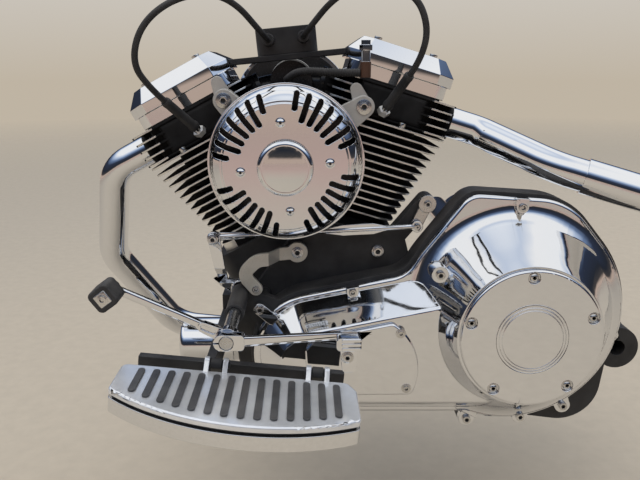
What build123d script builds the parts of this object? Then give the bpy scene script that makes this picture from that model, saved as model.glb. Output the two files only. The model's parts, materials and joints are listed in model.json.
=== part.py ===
from build123d import *
from math import atan2, cos, radians, sin, tan
import os

# V-twin motorcycle powertrain: engine, primary drive, gearbox and left foot controls.
# X runs to the rear, -Y to the rider's left, Z up. Sizes are millimetres.
# Every place below is measured from the crankshaft axis, and the finished pieces are
# moved so that the origin is the middle of the swingarm pivot bore.

# Place of the pivot bore
pivot_back = 437.0
pivot_drop = 17.0
pivot_bore_r = 11.2
pivot_lug_r = 31.0
pivot_half = 88.0

# Engine layout
front_lean = -28.0
v_angle = 45.0
rear_lean = front_lean + v_angle
fit_gap = 0.3
running_gap = 0.08

# Cylinders: distances run along each cylinder's own axis from the crankshaft
base_height = 168.0
deck_height = 320.0
barrel_core_r = 63.0
barrel_foot = 20.0
fin_thick = 2.4
fin_pitch = 10.6
barrel_fins = int((deck_height - base_height - barrel_foot) / fin_pitch) + 1
fin_top_half = 88.0
fin_low_half = 58.0
fin_side_half = 87.0
fin_low_side_half = 72.0
fin_corner = 34.0

# Heads and rocker boxes
head_height = 50.0
head_core_half = 66.0
head_core_corner = 22.0
head_fins = 5
head_fin_low = 3.0
head_fin_corner = 26.0
plug_wall_half = 52.0
plug_wall_y = -74.0
plug_wall_round = 8.0
head_lug_height = 13.0
rocker_base_height = 18.0
rocker_cover_height = 34.0
rocker_half_length = 76.0
rocker_half_width = 72.0
rocker_bevel = 20.0
rocker_taper = 40.0
port_r = 23.0
port_rise = 25.0
port_reach = 92.0
front_port_y = 10.0
rear_port_y = -24.0
inlet_y = 12.0
manifold_r = 30.0
throttle_y = 70.0
ear_r = 13.0
ear_seat = 88.5
front_ear = (54.0, deck_height + 34.0)
rear_ear = (-38.0, deck_height + 13.0)

# Crankcase
case_r = 116.0
case_left = -94.0
case_right = 62.0
case_rear = 176.0
case_rear_half = 78.0
case_face = -78.0
tower_half = 70.0
tower_side_half = 68.0
stay_boss_r = 12.0
case_bolt_x = 84.5
case_bolt_z = 132.7
case_bolt_r = 9.0
lever_boss_r = 12.0

# Primary drive
clutch_x = 263.5
clutch_z = 54.0
nose_r = 86.0
strap_x = 215.0
strap_z = 20.0
strap_r = 108.0
rear_x = 262.0
rear_z = 54.0
rear_r = 152.0
shoulder_x = 212.0
shoulder_z = 190.0
shoulder_r = 29.0
back_x = 285.0
back_z = 125.0
back_r = 89.0
corner_x = 342.0
corner_z = -50.0
corner_r = 56.0
neck_fillet = 42.0
primary_inner_y = case_left
primary_joint_y = -130.0
primary_rim = 12.0
rim_round = 5.0
primary_depth = 58.0
primary_slope = 32.0
flank_step = 5.0
flank_round = 6.0
inner_primary_margin = 4.0
bulge_foot_r = 154.0
bulge_foot_round = 30.0
bulge_slope = 56.0
bulge_hollow = 1.5
bulge_y = -222.0
bulge_margin = 4.0
cover_lug_r = 11.0
nose_lug_r = 8.0
tab_half = 8.2
tab_length = 24.0
tab_seat = -150.0
derby_r = 88.5
derby_lip = 3.0
derby_start = 92.0
derby_thick = 6.0
derby_screw_ring = 79.0
derby_screws = 5
derby_recess_r = 7.5
derby_recess_depth = 3.0
derby_ring_rs = (45.0, 41.5, 38.0)
derby_ring_rise = 0.7

# Flat cover on the primary's front part
inspection_thick = 6.0

# Gearbox
gearbox_front = case_rear
gearbox_rear = 404.0
gearbox_left = -50.0
gearbox_right = 96.0
gearbox_low = -66.0
gearbox_top = 108.0
pan_depth = 42.0
pan_length = 224.0
pan_width = 136.0
pan_corner = 16.0
side_cover_r = 50.0
side_cover_depth = 24.0
side_cover_edge = 8.0
top_cover_length = 112.0
top_cover_width = 120.0
top_cover_thick = 14.0

# Belt pulley on the gearbox output
pulley_r = 71.0
pulley_teeth = 32
pulley_width = 30.0
pulley_gap = 8.0
pulley_groove_r = 3.4
pulley_flange = 4.0
pulley_shaft_r = 16.0

# Round slotted cover between the cylinders
dish_x = -38.6
dish_z = deck_height - 58.0
dish_r = 99.0
dish_rim_y = -150.0
dish_hub_y = -192.0
dish_back_y = -116.0
dish_thick = 2.5
dish_flange = 4.0
dish_wall_r = 96.5
dish_shoulder_r = 91.0
dish_shoulder_rise = 19.0
dish_bead_r = 79.5
dish_bead_rise = 37.5
dish_face_r = 76.0
hub_r = 34.0
hub_base = 3.0
hub_side = 9.0
hub_rise = 14.0
hub_step = 0.8
slot_groups = 4
slots_in_group = 7
slot_start = 50.7
slot_step = 10.0
slot_width = 6.4
slot_outer_r = 91.5
slot_inner_r = 56.0
slot_short_r = 68.0
lug_arm_r = 14.0
lug_depth = 18.0
stub_lean = 9.0
stub_rise = 22.0
bracket_hub_r = 46.0
bracket_plate_y = -102.0

# Foot controls
shaft_x = -103.5
shaft_z = 82.0
shaft_r = 8.0
board_x = -226.0
board_y = -258.0
board_z = 50.0
board_tilt = 6.0
board_thick = 7.0
board_near = -9.0
board_front = -2.0
board_front_reach = -73.0
board_rear = 272.0
board_rear_reach = -99.0
board_middle = 153.0
board_reach = -131.0
board_rear_near = 262.0
board_roll = 2.6
board_sink = 5.0
isolator_thick = 4.0
isolator_inset = 4.0
pan_height = 17.0
pan_wall = 5.0
pan_roof = 4.0

# Exhaust
pipe_r = 22.0
pipe_wall = 2.0
rear_bend = (322.0, -92.0, 248.0)
rear_end = (470.0, -130.0, 205.0)
front_bends = ((-322.0, 60.0, 90.0), (-240.0, 138.0, -60.0))
front_end = (-40.0, 142.0, -84.0)
slip_step = 0.8
slip_length = 44.0
lead_r = 4.0
shield_step = 2.5
shield_start = 40.0
shield_length = 104.0

# Front mount and oil filter
mount_pad_x = -124.0
mount_z = 30.0
mount_height = 56.0
mount_hole_r = 5.2
mount_thick = 12.0
mount_width = 116.0
mount_half_y = 36.0
mount_half_z = 18.0
filter_pad_x = -120.0
filter_y = 24.0
filter_z = -46.0
filter_r = 38.0
filter_length = 84.0
filter_neck = 8.0

# Right side
tappet_x = 44.0
tappet_low = 109.0
tappet_height = 28.0
tappet_out = 112.0
pushrod_y = 99.5
pushrod_tube_r = 9.0
cleaner_in = 116.0
cleaner_out = 162.0
cleaner_r = 94.0
cleaner_z = 318.0

# Engine top
bracket_lift = 20.0
bracket_length = 220.0
bracket_width = 70.0
bracket_thick = 8.0
coil_length = 84.0
coil_width = 62.0
coil_height = 36.0
coil_tower_x = 24.0
coil_tower_rise = 28.0
coil_tower_r = 8.0
coil_tower_end = 50.0
bracket_height = (
    (deck_height + head_height) * cos(radians(v_angle / 2))
    + rocker_half_length * sin(radians(v_angle / 2))
    + bracket_lift
)
plug_lean = (0.17, -0.62, 0.76)
plug_d = deck_height + 4.0
plug_hex_r = 10.0
plug_length = 84.0
plug_hex_end = 24.0
boot_r = 6.5

# Fuel coupling and hose above the round cover
fitting_x = 64.0
fitting_y = -97.0
fitting_low = deck_height + 46.0
fitting_joint = fitting_low + 20.0
fitting_top = fitting_low + 47.0
fitting_r = 6.0
hose_r = 5.5
hose_bends = (110.0, 36.0, 46.0)

# Gearbox fittings
gearbox_posts = ((197, -46), (372, 84), (376, -38))
starter_x = 236.0
starter_z = 148.0
starter_r = 35.0
starter_right = 74.0
boss_end_y = -205.0
boss_r = 12.0
web_y = -118.0
arm_foot_y = -100.0
arm_top_y = -112.0
arm_thick = 5.0
arm_width = 15.0
arm_eye_r = 14.0
arm_joggle = 8.0
rod_y = -107.0
rod_r = 3.6
rod_flat = 5.0
rod_flat_half = 7.5
rod_flat_front = 14.0
rod_flat_rear = 92.0
rod_eye_r = 8.0
rod_x = -138.0
rod_z = 157.0
rod_end_x = 136.0
rod_end_z = 170.0
lever_pivot_x = 150.0
lever_pivot_z = 200.0
lever_width = 16.0
lever_thick = 6.0
stay_y = -108.0
stay_thick = 6.0
stay_width = 18.0
stay_lug_r = 14.0
stay_top_x = -26.0
stay_top_z = 136.0
stay_low_x = -81.5
stay_low_z = 91.5

# Toe and heel levers
toe_x = -230.0
toe_z = 141.0
toe_bar_y = -276.0
toe_bar_thick = 8.0
toe_bar_r = 4.6
toe_eye_r = 8.0
toe_peg_half = 13.0
toe_peg_length = 32.0
toe_peg_turn = 36.0
fork_front = 30.0
fork_rear = 4.0
fork_half = 7.0
fork_recess = 2.5
clamp_half = 9.5
clamp_front = 5.0
clamp_rear = 20.0
clamp_y = -287.0
clamp_depth = 14.0
slit_width = 1.6
heel_x = 22.0
heel_z = 88.0
heel_bar_y = -291.0
heel_bar_thick = 8.0
heel_bar_half = 4.4
heel_pad_x = 33.0
heel_pad_z = 84.0
heel_pad_length = 29.0
heel_pad_height = 15.0
heel_pad_depth = 22.0
heel_ribs = 3
heel_block_width = 20.0
heel_block_low = 49.0
shaft_end_y = clamp_y - clamp_depth

# Footboard fittings
hinge_places = (106.0, 226.0)
hinge_gap = 14.0
hinge_pin_r = 4.0
rail_y = 24.0
rail_z = -20.0
rail_length = 250.0
rail_thick = 12.0
rail_height = 26.0
hinge_tab = 6.0
hinge_tab_r = 8.0
pad_count = 14
pad_pitch = 17.2
pad_first = 24.0
pad_width = 8.0
pad_rise = 2.5
pad_margin = 13.0

MOVE = Pos(-pivot_back, 0, pivot_drop)
nodes = {}


def facing_left(y):
    """A drawing plane at depth y that is seen from the rider's left."""
    return Plane(origin=(0, y, 0), x_dir=(1, 0, 0), z_dir=(0, -1, 0))


def side_prism(sketch, y_in, y_out):
    """A sketch in X and Z pushed out to the left from y_in to y_out."""
    return extrude(facing_left(y_in) * sketch, amount=y_in - y_out)


def side_disc(x, z, r, y_in, y_out):
    """A round piece on a Y axis."""
    return side_prism(Pos(x, z) * Circle(r), y_in, y_out)


def hull_of(circles):
    """The outline drawn tight around a few circles, each x, z, r."""
    rings = [edge for x, z, r in circles for edge in (Pos(x, z) * Circle(r)).edges()]
    return make_hull(rings)


def bar(x0, z0, x1, z1, width, y_in, y_out):
    """A flat bar with round ends between two places in a side view."""
    outline = hull_of([(x0, z0, width / 2), (x1, z1, width / 2)])
    return side_prism(outline, y_in, y_out)


def rod_between(start, end, r):
    """A round rod from one place to another."""
    way = Vector(*end) - Vector(*start)
    plane = Plane(origin=start, z_dir=way)
    return extrude(plane * Circle(r), amount=way.length)


def pipe_along(points, radii, r_out, r_in=0.0):
    """A pipe of straight runs joined by arcs."""
    path = FilletPolyline(*points, radius=radii)
    ring = Circle(r_out) - Circle(r_in) if r_in else Circle(r_out)
    return sweep((path ^ 0) * ring, path=path)


def add(name, solid):
    nodes[name] = solid


# Crankcase


def crankcase():
    lower = hull_of([(0, 0, case_r), (case_rear - 40, -58, 40)])
    body = side_prism(lower, case_right, case_face)
    body += Pos((case_rear + 20) / 2, (case_right + case_face) / 2, 0) * Box(
        case_rear - 20, case_right - case_face, 2 * case_rear_half
    )
    for lean in (front_lean, rear_lean):
        tower = extrude(
            Pos(0, -6, 0) * RectangleRounded(2 * tower_half, 2 * tower_side_half, 20),
            amount=base_height,
        )
        body += Rot(0, lean, 0) * tower
    # Flat pads for the front mount and the oil filter
    body += Pos((mount_pad_x - 60) / 2, 0, mount_z) * Box(-60 - mount_pad_x, 100, mount_height)
    pad = Plane(origin=(filter_pad_x, filter_y, filter_z), z_dir=(1, 0, 0))
    body += extrude(pad * Circle(filter_r - 4), amount=60)
    # Left flank that stands behind the primary drive, with its bosses
    flank = hull_of([(-52, 70, 34), (0, 0, 80), (-20, 138, 20), (100, 140, 24), (120, 20, 36)])
    body += side_prism(flank, -70, case_left)
    body += side_disc(stay_top_x, stay_top_z, stay_boss_r, -70, stay_y)
    body += side_disc(case_bolt_x, case_bolt_z, case_bolt_r, -70, case_left - 3)
    rib = hull_of([(100, 140, lever_boss_r), (lever_pivot_x, lever_pivot_z, lever_boss_r)])
    return body + side_prism(rib, -70, case_left)


def cam_cover():
    outline = hull_of([(0, 8, 72), (-46, 62, 44), (52, 64, 44), (30, -30, 52)])
    cover = side_prism(outline, case_right + 34, case_right)
    return fillet(cover.faces().sort_by(Axis.Y)[-1].edges(), 12)


add("crankcase", crankcase())
add("cam_cover", cam_cover())


# Cylinders, heads and rocker boxes, each built upright and then leaned


def fin_half(d):
    """Half the width of a barrel fin at distance d from the crankshaft."""
    lowest = deck_height - 3 - (barrel_fins - 1) * fin_pitch
    share = (d - lowest) / (deck_height - 3 - lowest)
    return (
        fin_low_half + (fin_top_half - fin_low_half) * share,
        fin_low_side_half + (fin_side_half - fin_low_side_half) * share,
    )


def barrel():
    body = extrude(
        Pos(0, -4, base_height) * RectangleRounded(2 * fin_low_half, 2 * fin_low_half, 22),
        amount=12,
    )
    core = Pos(0, 0, base_height) * Cylinder(
        barrel_core_r - 8,
        deck_height - base_height,
        align=(Align.CENTER, Align.CENTER, Align.MIN),
    )
    body += core
    for count in range(barrel_fins):
        d = deck_height - fin_thick - count * fin_pitch
        half, side_half = fin_half(d)
        corner = min(fin_corner, half - 4)
        plate = RectangleRounded(2 * half, 2 * side_half, corner)
        body += extrude(Pos(0, 0, d) * plate, amount=fin_thick)
    return body


def head(port_side, port_y, ear):
    low = deck_height
    body = extrude(
        Pos(0, 0, low) * RectangleRounded(2 * head_core_half, 2 * head_core_half, head_core_corner),
        amount=head_height,
    )
    for count in range(head_fins):
        d = low + head_fin_low + count * fin_pitch
        plate = RectangleRounded(2 * fin_top_half, 2 * fin_side_half, head_fin_corner)
        body += extrude(Pos(0, 0, d) * plate, amount=fin_thick)
    # Smooth wall round the spark plug, where the fins stop short
    body -= Pos(0, -fin_side_half, low + head_height / 2) * Box(
        2 * plug_wall_half, 2 * (fin_side_half + plug_wall_y), 2 * head_height
    )
    wall = Pos(0, plug_wall_y / 2, low + head_height / 2) * Box(
        2 * plug_wall_half - 8, -plug_wall_y, head_height - 6
    )
    body += fillet(wall.faces().sort_by(Axis.Y)[0].edges(), plug_wall_round)
    port = Plane(origin=(port_side * 40, port_y, low + port_rise), z_dir=(port_side, 0, 0))
    body += extrude(port * Circle(port_r), amount=port_reach - 40)
    inlet = Plane(origin=(-port_side * 40, inlet_y, low + port_rise), z_dir=(-port_side, 0, 0))
    body += extrude(inlet * Circle(port_r), amount=port_reach - 40)
    lug = Pos(0, 84, low + head_height - head_lug_height) * extrude(
        RectangleRounded(78, 56, 12), amount=head_lug_height
    )
    body += lug
    boss = Plane(origin=(ear[0], -50, ear[1]), x_dir=(1, 0, 0), z_dir=(0, -1, 0))
    body += extrude(boss * Circle(ear_r), amount=ear_seat - 50)
    return body


def rocker_box():
    low = deck_height + head_height
    length = 2 * rocker_half_length
    width = 2 * rocker_half_width
    base = extrude(
        Pos(0, 4, low) * RectangleRounded(length - 12, width - 10, 16),
        amount=rocker_base_height,
    )
    corner = 24
    outline = chamfer(Rectangle(length, width).vertices(), corner)
    straight = rocker_cover_height - rocker_bevel
    low += rocker_base_height
    cover = extrude(Pos(0, 4, low) * outline, amount=straight)
    cover += extrude(Pos(0, 4, low + straight) * outline, amount=rocker_bevel, taper=rocker_taper)
    return base + cover


# end, lean, side of the exhaust port, its y, place of the cover's ear boss
for end, lean, port_side, port_y, ear in (
    ("front", front_lean, -1, front_port_y, front_ear),
    ("rear", rear_lean, 1, rear_port_y, rear_ear),
):
    stand = Rot(0, lean, 0)
    add(end + "_cylinder", stand * barrel())
    add(end + "_head", stand * head(port_side, port_y, ear))
    add(end + "_rocker_box", stand * rocker_box())


# Right side: tappet blocks, pushrod tubes, intake and air cleaner


def tappet_blocks():
    blocks = [
        Pos(x, (case_right + tappet_out) / 2, tappet_low + tappet_height / 2)
        * Box(60, tappet_out - case_right, tappet_height)
        for x in (-tappet_x, tappet_x)
    ]
    return Compound(children=blocks)


def pushrod_tubes():
    tubes = []
    low = tappet_low + tappet_height
    high = deck_height + head_height - head_lug_height
    for lean, x_low in ((front_lean, -tappet_x), (rear_lean, tappet_x)):
        stand = Rot(0, lean, 0)
        for shift in (-15, 15):
            top = stand * Pos(1.3 * shift, pushrod_y, high - 8)
            collar = top * Cylinder(12, 8, align=(Align.CENTER, Align.CENTER, Align.MIN))
            foot = Pos(x_low + shift, pushrod_y, low)
            cup = foot * Cylinder(12, 10, align=(Align.CENTER, Align.CENTER, Align.MIN))
            start = (x_low + shift, pushrod_y, low + 6)
            end = (stand * Pos(1.3 * shift, pushrod_y, high - 4)).position
            rod = rod_between(start, (end.X, end.Y, end.Z), pushrod_tube_r)
            tubes.append(rod + collar + cup)
    return Compound(children=tubes)


add("tappet_blocks", tappet_blocks())
add("pushrod_tubes", pushrod_tubes())


def inlet_place(lean, side, reach):
    """A place on a head's inlet port axis."""
    return (Rot(0, lean, 0) * Pos(side * reach, inlet_y, deck_height + port_rise)).position


def intake_manifold():
    front = inlet_place(front_lean, 1, port_reach)
    rear = inlet_place(rear_lean, -1, port_reach)
    middle = Vector((front.X + rear.X) / 2, inlet_y, (front.Z + rear.Z) / 2 + 6)
    arm_r = port_r - 6
    arms = rod_between(tuple(front), tuple(middle), arm_r) + rod_between(
        tuple(rear), tuple(middle), arm_r
    )
    for place, lean, side in ((front, front_lean, 1), (rear, rear_lean, -1)):
        way = Vector(side * cos(radians(lean)), 0, -side * sin(radians(lean)))
        plane = Plane(origin=tuple(place), z_dir=way)
        arms += extrude(plane * Circle(port_r), amount=7)
        arms -= extrude(plane * Circle(2 * port_r), amount=-40)
    arms += side_disc(middle.X, middle.Z, manifold_r, throttle_y, inlet_y - port_r)
    return arms, middle


manifold, inlet_middle = intake_manifold()
add("intake_manifold", manifold)


def throttle_body():
    return side_disc(inlet_middle.X, inlet_middle.Z, manifold_r + 3, cleaner_in, throttle_y)


def air_cleaner_base():
    return side_disc(inlet_middle.X, cleaner_z, cleaner_r - 6, cleaner_in + 14, cleaner_in)


def air_cleaner_cover():
    depth = cleaner_out - cleaner_in - 14
    outline = make_face(
        Polyline((0, 0), (cleaner_r, 0), (cleaner_r, depth - 16))
        + RadiusArc((cleaner_r, depth - 16), (cleaner_r - 16, depth), 16)
        + Polyline((cleaner_r - 16, depth), (0, depth), (0, 0))
    )
    dome = revolve(Plane.XZ * outline, axis=Axis.Z)
    return Pos(inlet_middle.X, cleaner_in + 14, cleaner_z) * Rot(-90, 0, 0) * dome


add("throttle_body", throttle_body())
add("air_cleaner_base", air_cleaner_base())
add("air_cleaner_cover", air_cleaner_cover())


# Top of the engine: mounting bracket, ignition coil and spark plugs

v_middle = (front_lean + rear_lean) / 2


def top_mount_bracket():
    plate = Pos(0, 6, bracket_height) * Box(
        bracket_length, bracket_width, bracket_thick, align=(Align.CENTER, Align.CENTER, Align.MIN)
    )
    for side, lean in ((-1, -v_angle / 2), (1, v_angle / 2)):
        block = Pos(side * 100, 0, bracket_height) * Box(200 + 2 * rocker_half_length, 400, 300)
        plate -= Rot(0, lean, 0) * block
    return Rot(0, v_middle, 0) * plate


def ignition_coil():
    body = Pos(0, 6, bracket_height + bracket_thick) * extrude(
        RectangleRounded(coil_length, coil_width, 10), amount=coil_height
    )
    for x in (-coil_tower_x, coil_tower_x):
        tower = Plane(origin=(x, -20, bracket_height + coil_tower_rise), z_dir=(0, -1, 0))
        body += extrude(tower * Circle(coil_tower_r), amount=coil_tower_end - 20)
    return Rot(0, v_middle, 0) * body


add("top_mount_bracket", top_mount_bracket())
add("ignition_coil", ignition_coil())


def plug_way(side):
    """The direction in which a spark plug points, in its head's own frame."""
    lean = plug_lean
    return Vector(side * lean[0], lean[1], lean[2]).normalized()


# lean of the cylinder, side to which the plug tips, its place along the head
plug_rows = {"front": (front_lean, -1, 4.0), "rear": (rear_lean, 1, -10.0)}


def spark_plugs():
    plugs = []
    for lean, side, shift in plug_rows.values():
        place = Plane(origin=(shift, plug_wall_y, plug_d), z_dir=plug_way(side))
        hexagon = extrude(place * RegularPolygon(plug_hex_r, 6), amount=plug_hex_end)
        boot = extrude(place * Circle(boot_r), amount=plug_length)
        plug = hexagon + boot
        plug -= Pos(shift, 0, deck_height) * Box(80, -2 * plug_wall_y, 200)
        plug -= Pos(shift, plug_wall_y, deck_height + fit_gap - 20) * Box(80, 60, 40)
        plugs.append(Rot(0, lean, 0) * plug)
    return Compound(children=plugs)


add("spark_plugs", spark_plugs())


# Primary drive


# Where the cover's screws stand: x, z, radius of the lug, depth of its seat, and x, z of its root
cover_screws = (
    (-76, 67, nose_lug_r, -148, -60, 53),
    (157, 122, cover_lug_r, -176, 157, 122),
    (209, -99, cover_lug_r, -141, 214, -86),
    (284, -96, cover_lug_r, -141, 282, -82),
    (343, -80, cover_lug_r, -141, 337, -68),
)

# Tabs that hang from the cover's upper edge: x, z of the screw
cover_tabs = ((47, 91), (265, 204))


def strap_outline(margin=0.0):
    """The front part of the primary drive, round the crankshaft and the chain."""
    return hull_of([(0, 0, nose_r + margin), (strap_x, strap_z, strap_r + margin)])


def primary_outline(margin=0.0):
    """Side view of the primary cover, grown by a margin."""
    clutch_part = hull_of([
        (rear_x, rear_z, rear_r + margin),
        (shoulder_x, shoulder_z, shoulder_r + margin),
        (back_x, back_z, back_r + margin),
    ])
    both = Sketch() + [strap_outline(margin), clutch_part]
    above = [v for v in both.vertices() if v.X > 0 and v.Y > strap_z]
    neck = sorted(above, key=lambda v: v.X)[0]
    return fillet(neck, neck_fillet)


def cover_lugs(y_in, y_out=None):
    """Round lugs for the cover's screws, down to the depth of each seat or to y_out."""
    return [
        side_prism(hull_of([(x, z, r), (root_x, root_z, r + 0.1)]), y_in, y_out or seat)
        for x, z, r, seat, root_x, root_z in cover_screws
    ]


def cover_tab(x, z):
    """A tab with a round lower end, cut off flush with the cover's edge."""
    outline = hull_of([(x, z, tab_half), (x, z + tab_length, tab_half)])
    return side_prism(outline, primary_joint_y, tab_seat) & side_prism(
        primary_outline(), primary_joint_y, tab_seat
    )


def inner_primary():
    body = side_prism(primary_outline(inner_primary_margin), primary_inner_y, primary_joint_y)
    low_corner = hull_of([(rear_x, rear_z, rear_r - 4), (corner_x, corner_z, corner_r)])
    body += side_prism(low_corner, primary_inner_y, primary_joint_y)
    for lug in cover_lugs(primary_inner_y, primary_joint_y):
        body += lug
    nose = cover_screws[0]
    body += side_disc(nose[0] + 4, nose[1] + 7, nose_lug_r, primary_inner_y, primary_joint_y)
    boss = side_disc(shaft_x, shaft_z, boss_r, web_y, boss_end_y)
    web = side_prism(hull_of([(shaft_x, shaft_z, boss_r), (-60, 52, 24)]), web_y, primary_joint_y)
    body += boss + web
    return body - side_disc(shaft_x, shaft_z, shaft_r + fit_gap, case_left, boss_end_y - 10)


def clutch_bulge(foot_y):
    """The hollow flared cone that covers the clutch, trimmed to stay inside the rim."""
    top = foot_y - bulge_y
    top_r = derby_r + derby_lip
    slope = radians(bulge_slope)
    half = slope / 2
    curve_end = (
        bulge_foot_r - bulge_foot_round * sin(slope),
        rim_round + bulge_foot_round * (1 - cos(slope)),
    )
    curve_middle = (
        bulge_foot_r - bulge_foot_round * sin(half),
        rim_round + bulge_foot_round * (1 - cos(half)),
    )
    flank_middle = (
        (curve_end[0] + top_r) / 2 - bulge_hollow * sin(slope),
        (curve_end[1] + top) / 2 - bulge_hollow * cos(slope),
    )
    profile = make_face(
        Polyline((0, 0), (bulge_foot_r, 0), (bulge_foot_r, rim_round))
        + ThreePointArc((bulge_foot_r, rim_round), curve_middle, curve_end)
        + ThreePointArc(curve_end, flank_middle, (top_r, top))
        + Polyline((top_r, top), (0, top), (0, 0))
    )
    cone = Pos(clutch_x, foot_y, clutch_z) * Rot(90, 0, 0) * revolve(Plane.XZ * profile, axis=Axis.Z)
    return cone & side_prism(primary_outline(-bulge_margin), foot_y, bulge_y)


def outer_primary():
    rim_y = primary_joint_y - primary_rim
    rim = side_prism(primary_outline(), primary_joint_y, rim_y)
    rim = fillet(rim.faces().sort_by(Axis.Y)[0].edges(), rim_round)
    foot_y = rim_y + rim_round
    face_y = primary_joint_y - primary_depth
    run = (foot_y - face_y) * tan(radians(primary_slope))
    flank = loft(
        [
            facing_left(foot_y) * strap_outline(-flank_step),
            facing_left(face_y) * strap_outline(-flank_step - run),
        ],
        ruled=True,
    )
    flank = fillet(flank.faces().sort_by(Axis.Y)[0].edges(), flank_round)
    body = rim + flank + clutch_bulge(foot_y)
    for lug in cover_lugs(primary_joint_y):
        body += lug
    for x, z in cover_tabs:
        body += cover_tab(x, z)
    return body


add("inner_primary", inner_primary())
add("outer_primary", outer_primary())


def derby_cover():
    face = bulge_y - derby_thick
    plate = side_disc(clutch_x, clutch_z, derby_r, bulge_y, face)
    plate = fillet(plate.faces().sort_by(Axis.Y)[0].edges(), derby_thick / 2)
    for step, r in enumerate(derby_ring_rs):
        ring = side_disc(clutch_x, clutch_z, r, bulge_y - 1, face - (step + 1) * derby_ring_rise)
        plate += chamfer(ring.faces().sort_by(Axis.Y)[0].edges(), derby_ring_rise / 2)
    for count in range(derby_screws):
        turn = radians(derby_start + 360 / derby_screws * count)
        x = clutch_x + derby_screw_ring * cos(turn)
        z = clutch_z + derby_screw_ring * sin(turn)
        deep = face + derby_recess_depth
        plate -= side_disc(x, z, derby_recess_r, deep, deep - 2 * derby_thick)
    return plate


add("clutch_cover", derby_cover())


def inspection_cover():
    face = primary_joint_y - primary_depth
    outline = make_face(
        Polyline((-14, -36), (-16, 28), (-4, 43), (96, 63))
        + ThreePointArc((96, 63), (127, 22), (122, -36))
        + Line((122, -36), (-14, -36))
    )
    outline = fillet(outline.vertices(), 9)
    plate = side_prism(outline, face, face - inspection_thick)
    return chamfer(plate.faces().sort_by(Axis.Y)[0].edges(), inspection_thick / 3)


add("inspection_cover", inspection_cover())


# Gearbox, oil pan, starter, filter and belt pulley


def gearbox_case():
    length = gearbox_rear - gearbox_front
    height = gearbox_top - gearbox_low
    width = gearbox_right - gearbox_left
    block = Pos(
        (gearbox_front + gearbox_rear) / 2,
        (gearbox_left + gearbox_right) / 2,
        (gearbox_low + gearbox_top) / 2,
    ) * Box(length, width, height)
    block = fillet(block.edges().filter_by(Axis.Y).group_by(Axis.X)[-1], 26)
    web = hull_of([(pivot_back, -pivot_drop, pivot_lug_r), (370, 10, 60)])
    block += side_prism(web, gearbox_right - 14, gearbox_left)
    block += side_disc(pivot_back, -pivot_drop, pivot_lug_r, pivot_half, -pivot_half)
    block += side_disc(clutch_x, clutch_z, pulley_shaft_r, 0, case_left)
    for x, z in gearbox_posts:
        block += side_disc(x, z, 13, 0, case_left)
    return block - side_disc(pivot_back, -pivot_drop, pivot_bore_r, 200, -200)


def gearbox_top_cover():
    x = gearbox_rear - top_cover_length / 2 - side_cover_edge
    y = (gearbox_left + gearbox_right) / 2
    plate = Pos(x, y, gearbox_top) * extrude(
        RectangleRounded(top_cover_length, top_cover_width, top_cover_thick), amount=top_cover_thick
    )
    return chamfer(plate.faces().sort_by(Axis.Z)[-1].edges(), top_cover_thick / 3)


def gearbox_side_cover():
    middle_z = (gearbox_top + gearbox_low) / 2
    outline = hull_of([
        (clutch_x, clutch_z, side_cover_r),
        (gearbox_rear - side_cover_r - side_cover_edge, middle_z + 20, side_cover_r),
        (clutch_x + side_cover_r, gearbox_low + side_cover_edge + 38, 38),
    ])
    plate = side_prism(outline, gearbox_right + side_cover_depth, gearbox_right)
    return fillet(plate.faces().sort_by(Axis.Y)[-1].edges(), side_cover_edge)


def oil_pan():
    x = (gearbox_front + gearbox_rear) / 2
    y = (gearbox_left + gearbox_right) / 2
    pan = Pos(x, y, gearbox_low - pan_depth / 2) * Box(pan_length, pan_width, pan_depth)
    return fillet(pan.edges().filter_by(Axis.Z), pan_corner)


def starter_motor():
    body = side_disc(starter_x, starter_z, starter_r, starter_right, gearbox_left + 6)
    drive_r = starter_r / 2
    body += side_disc(starter_x - 10, starter_z + drive_r, drive_r, 0, case_left)
    switch_x = starter_x - starter_r - 9
    return body + side_disc(switch_x, starter_z + 12, drive_r + 2.5, starter_right - 14, gearbox_left + 10)


def oil_filter():
    can = Plane(origin=(filter_pad_x, filter_y, filter_z), z_dir=(-1, 0, 0))
    neck = extrude(can * Circle(filter_r - 6), amount=filter_neck)
    body = extrude(can.offset(filter_neck) * Circle(filter_r), amount=filter_length)
    return neck + fillet(body.faces().sort_by(Axis.X)[0].edges(), filter_neck)


def front_engine_mount():
    plate = Pos(mount_pad_x - mount_thick / 2, 0, mount_z) * Box(mount_thick, mount_width, mount_height)
    for y in (-mount_half_y, mount_half_y):
        for z in (-mount_half_z, mount_half_z):
            hole = Plane(origin=(mount_pad_x - 20, y, mount_z + z), z_dir=(1, 0, 0))
            plate -= extrude(hole * Circle(mount_hole_r), amount=20)
    return plate


def drive_pulley():
    right = gearbox_left - pulley_gap
    body = side_disc(clutch_x, clutch_z, pulley_r, right, right - pulley_width)
    for count in range(pulley_teeth):
        turn = radians(360 / pulley_teeth * count)
        x = clutch_x + (pulley_r + 0.6) * cos(turn)
        z = clutch_z + (pulley_r + 0.6) * sin(turn)
        body -= side_disc(x, z, pulley_groove_r, right + 1, right - pulley_width - 1)
    body += side_disc(clutch_x, clutch_z, pulley_r + pulley_flange, right + 2, right)
    return body - side_disc(clutch_x, clutch_z, pulley_shaft_r + running_gap, 0, -200)


add("gearbox_case", gearbox_case())
add("gearbox_top_cover", gearbox_top_cover())
add("gearbox_side_cover", gearbox_side_cover())
add("oil_pan", oil_pan())
add("starter_motor", starter_motor())
add("oil_filter", oil_filter())
add("front_engine_mount", front_engine_mount())
add("final_drive_pulley", drive_pulley())


# Round slotted cover on the left


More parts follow.
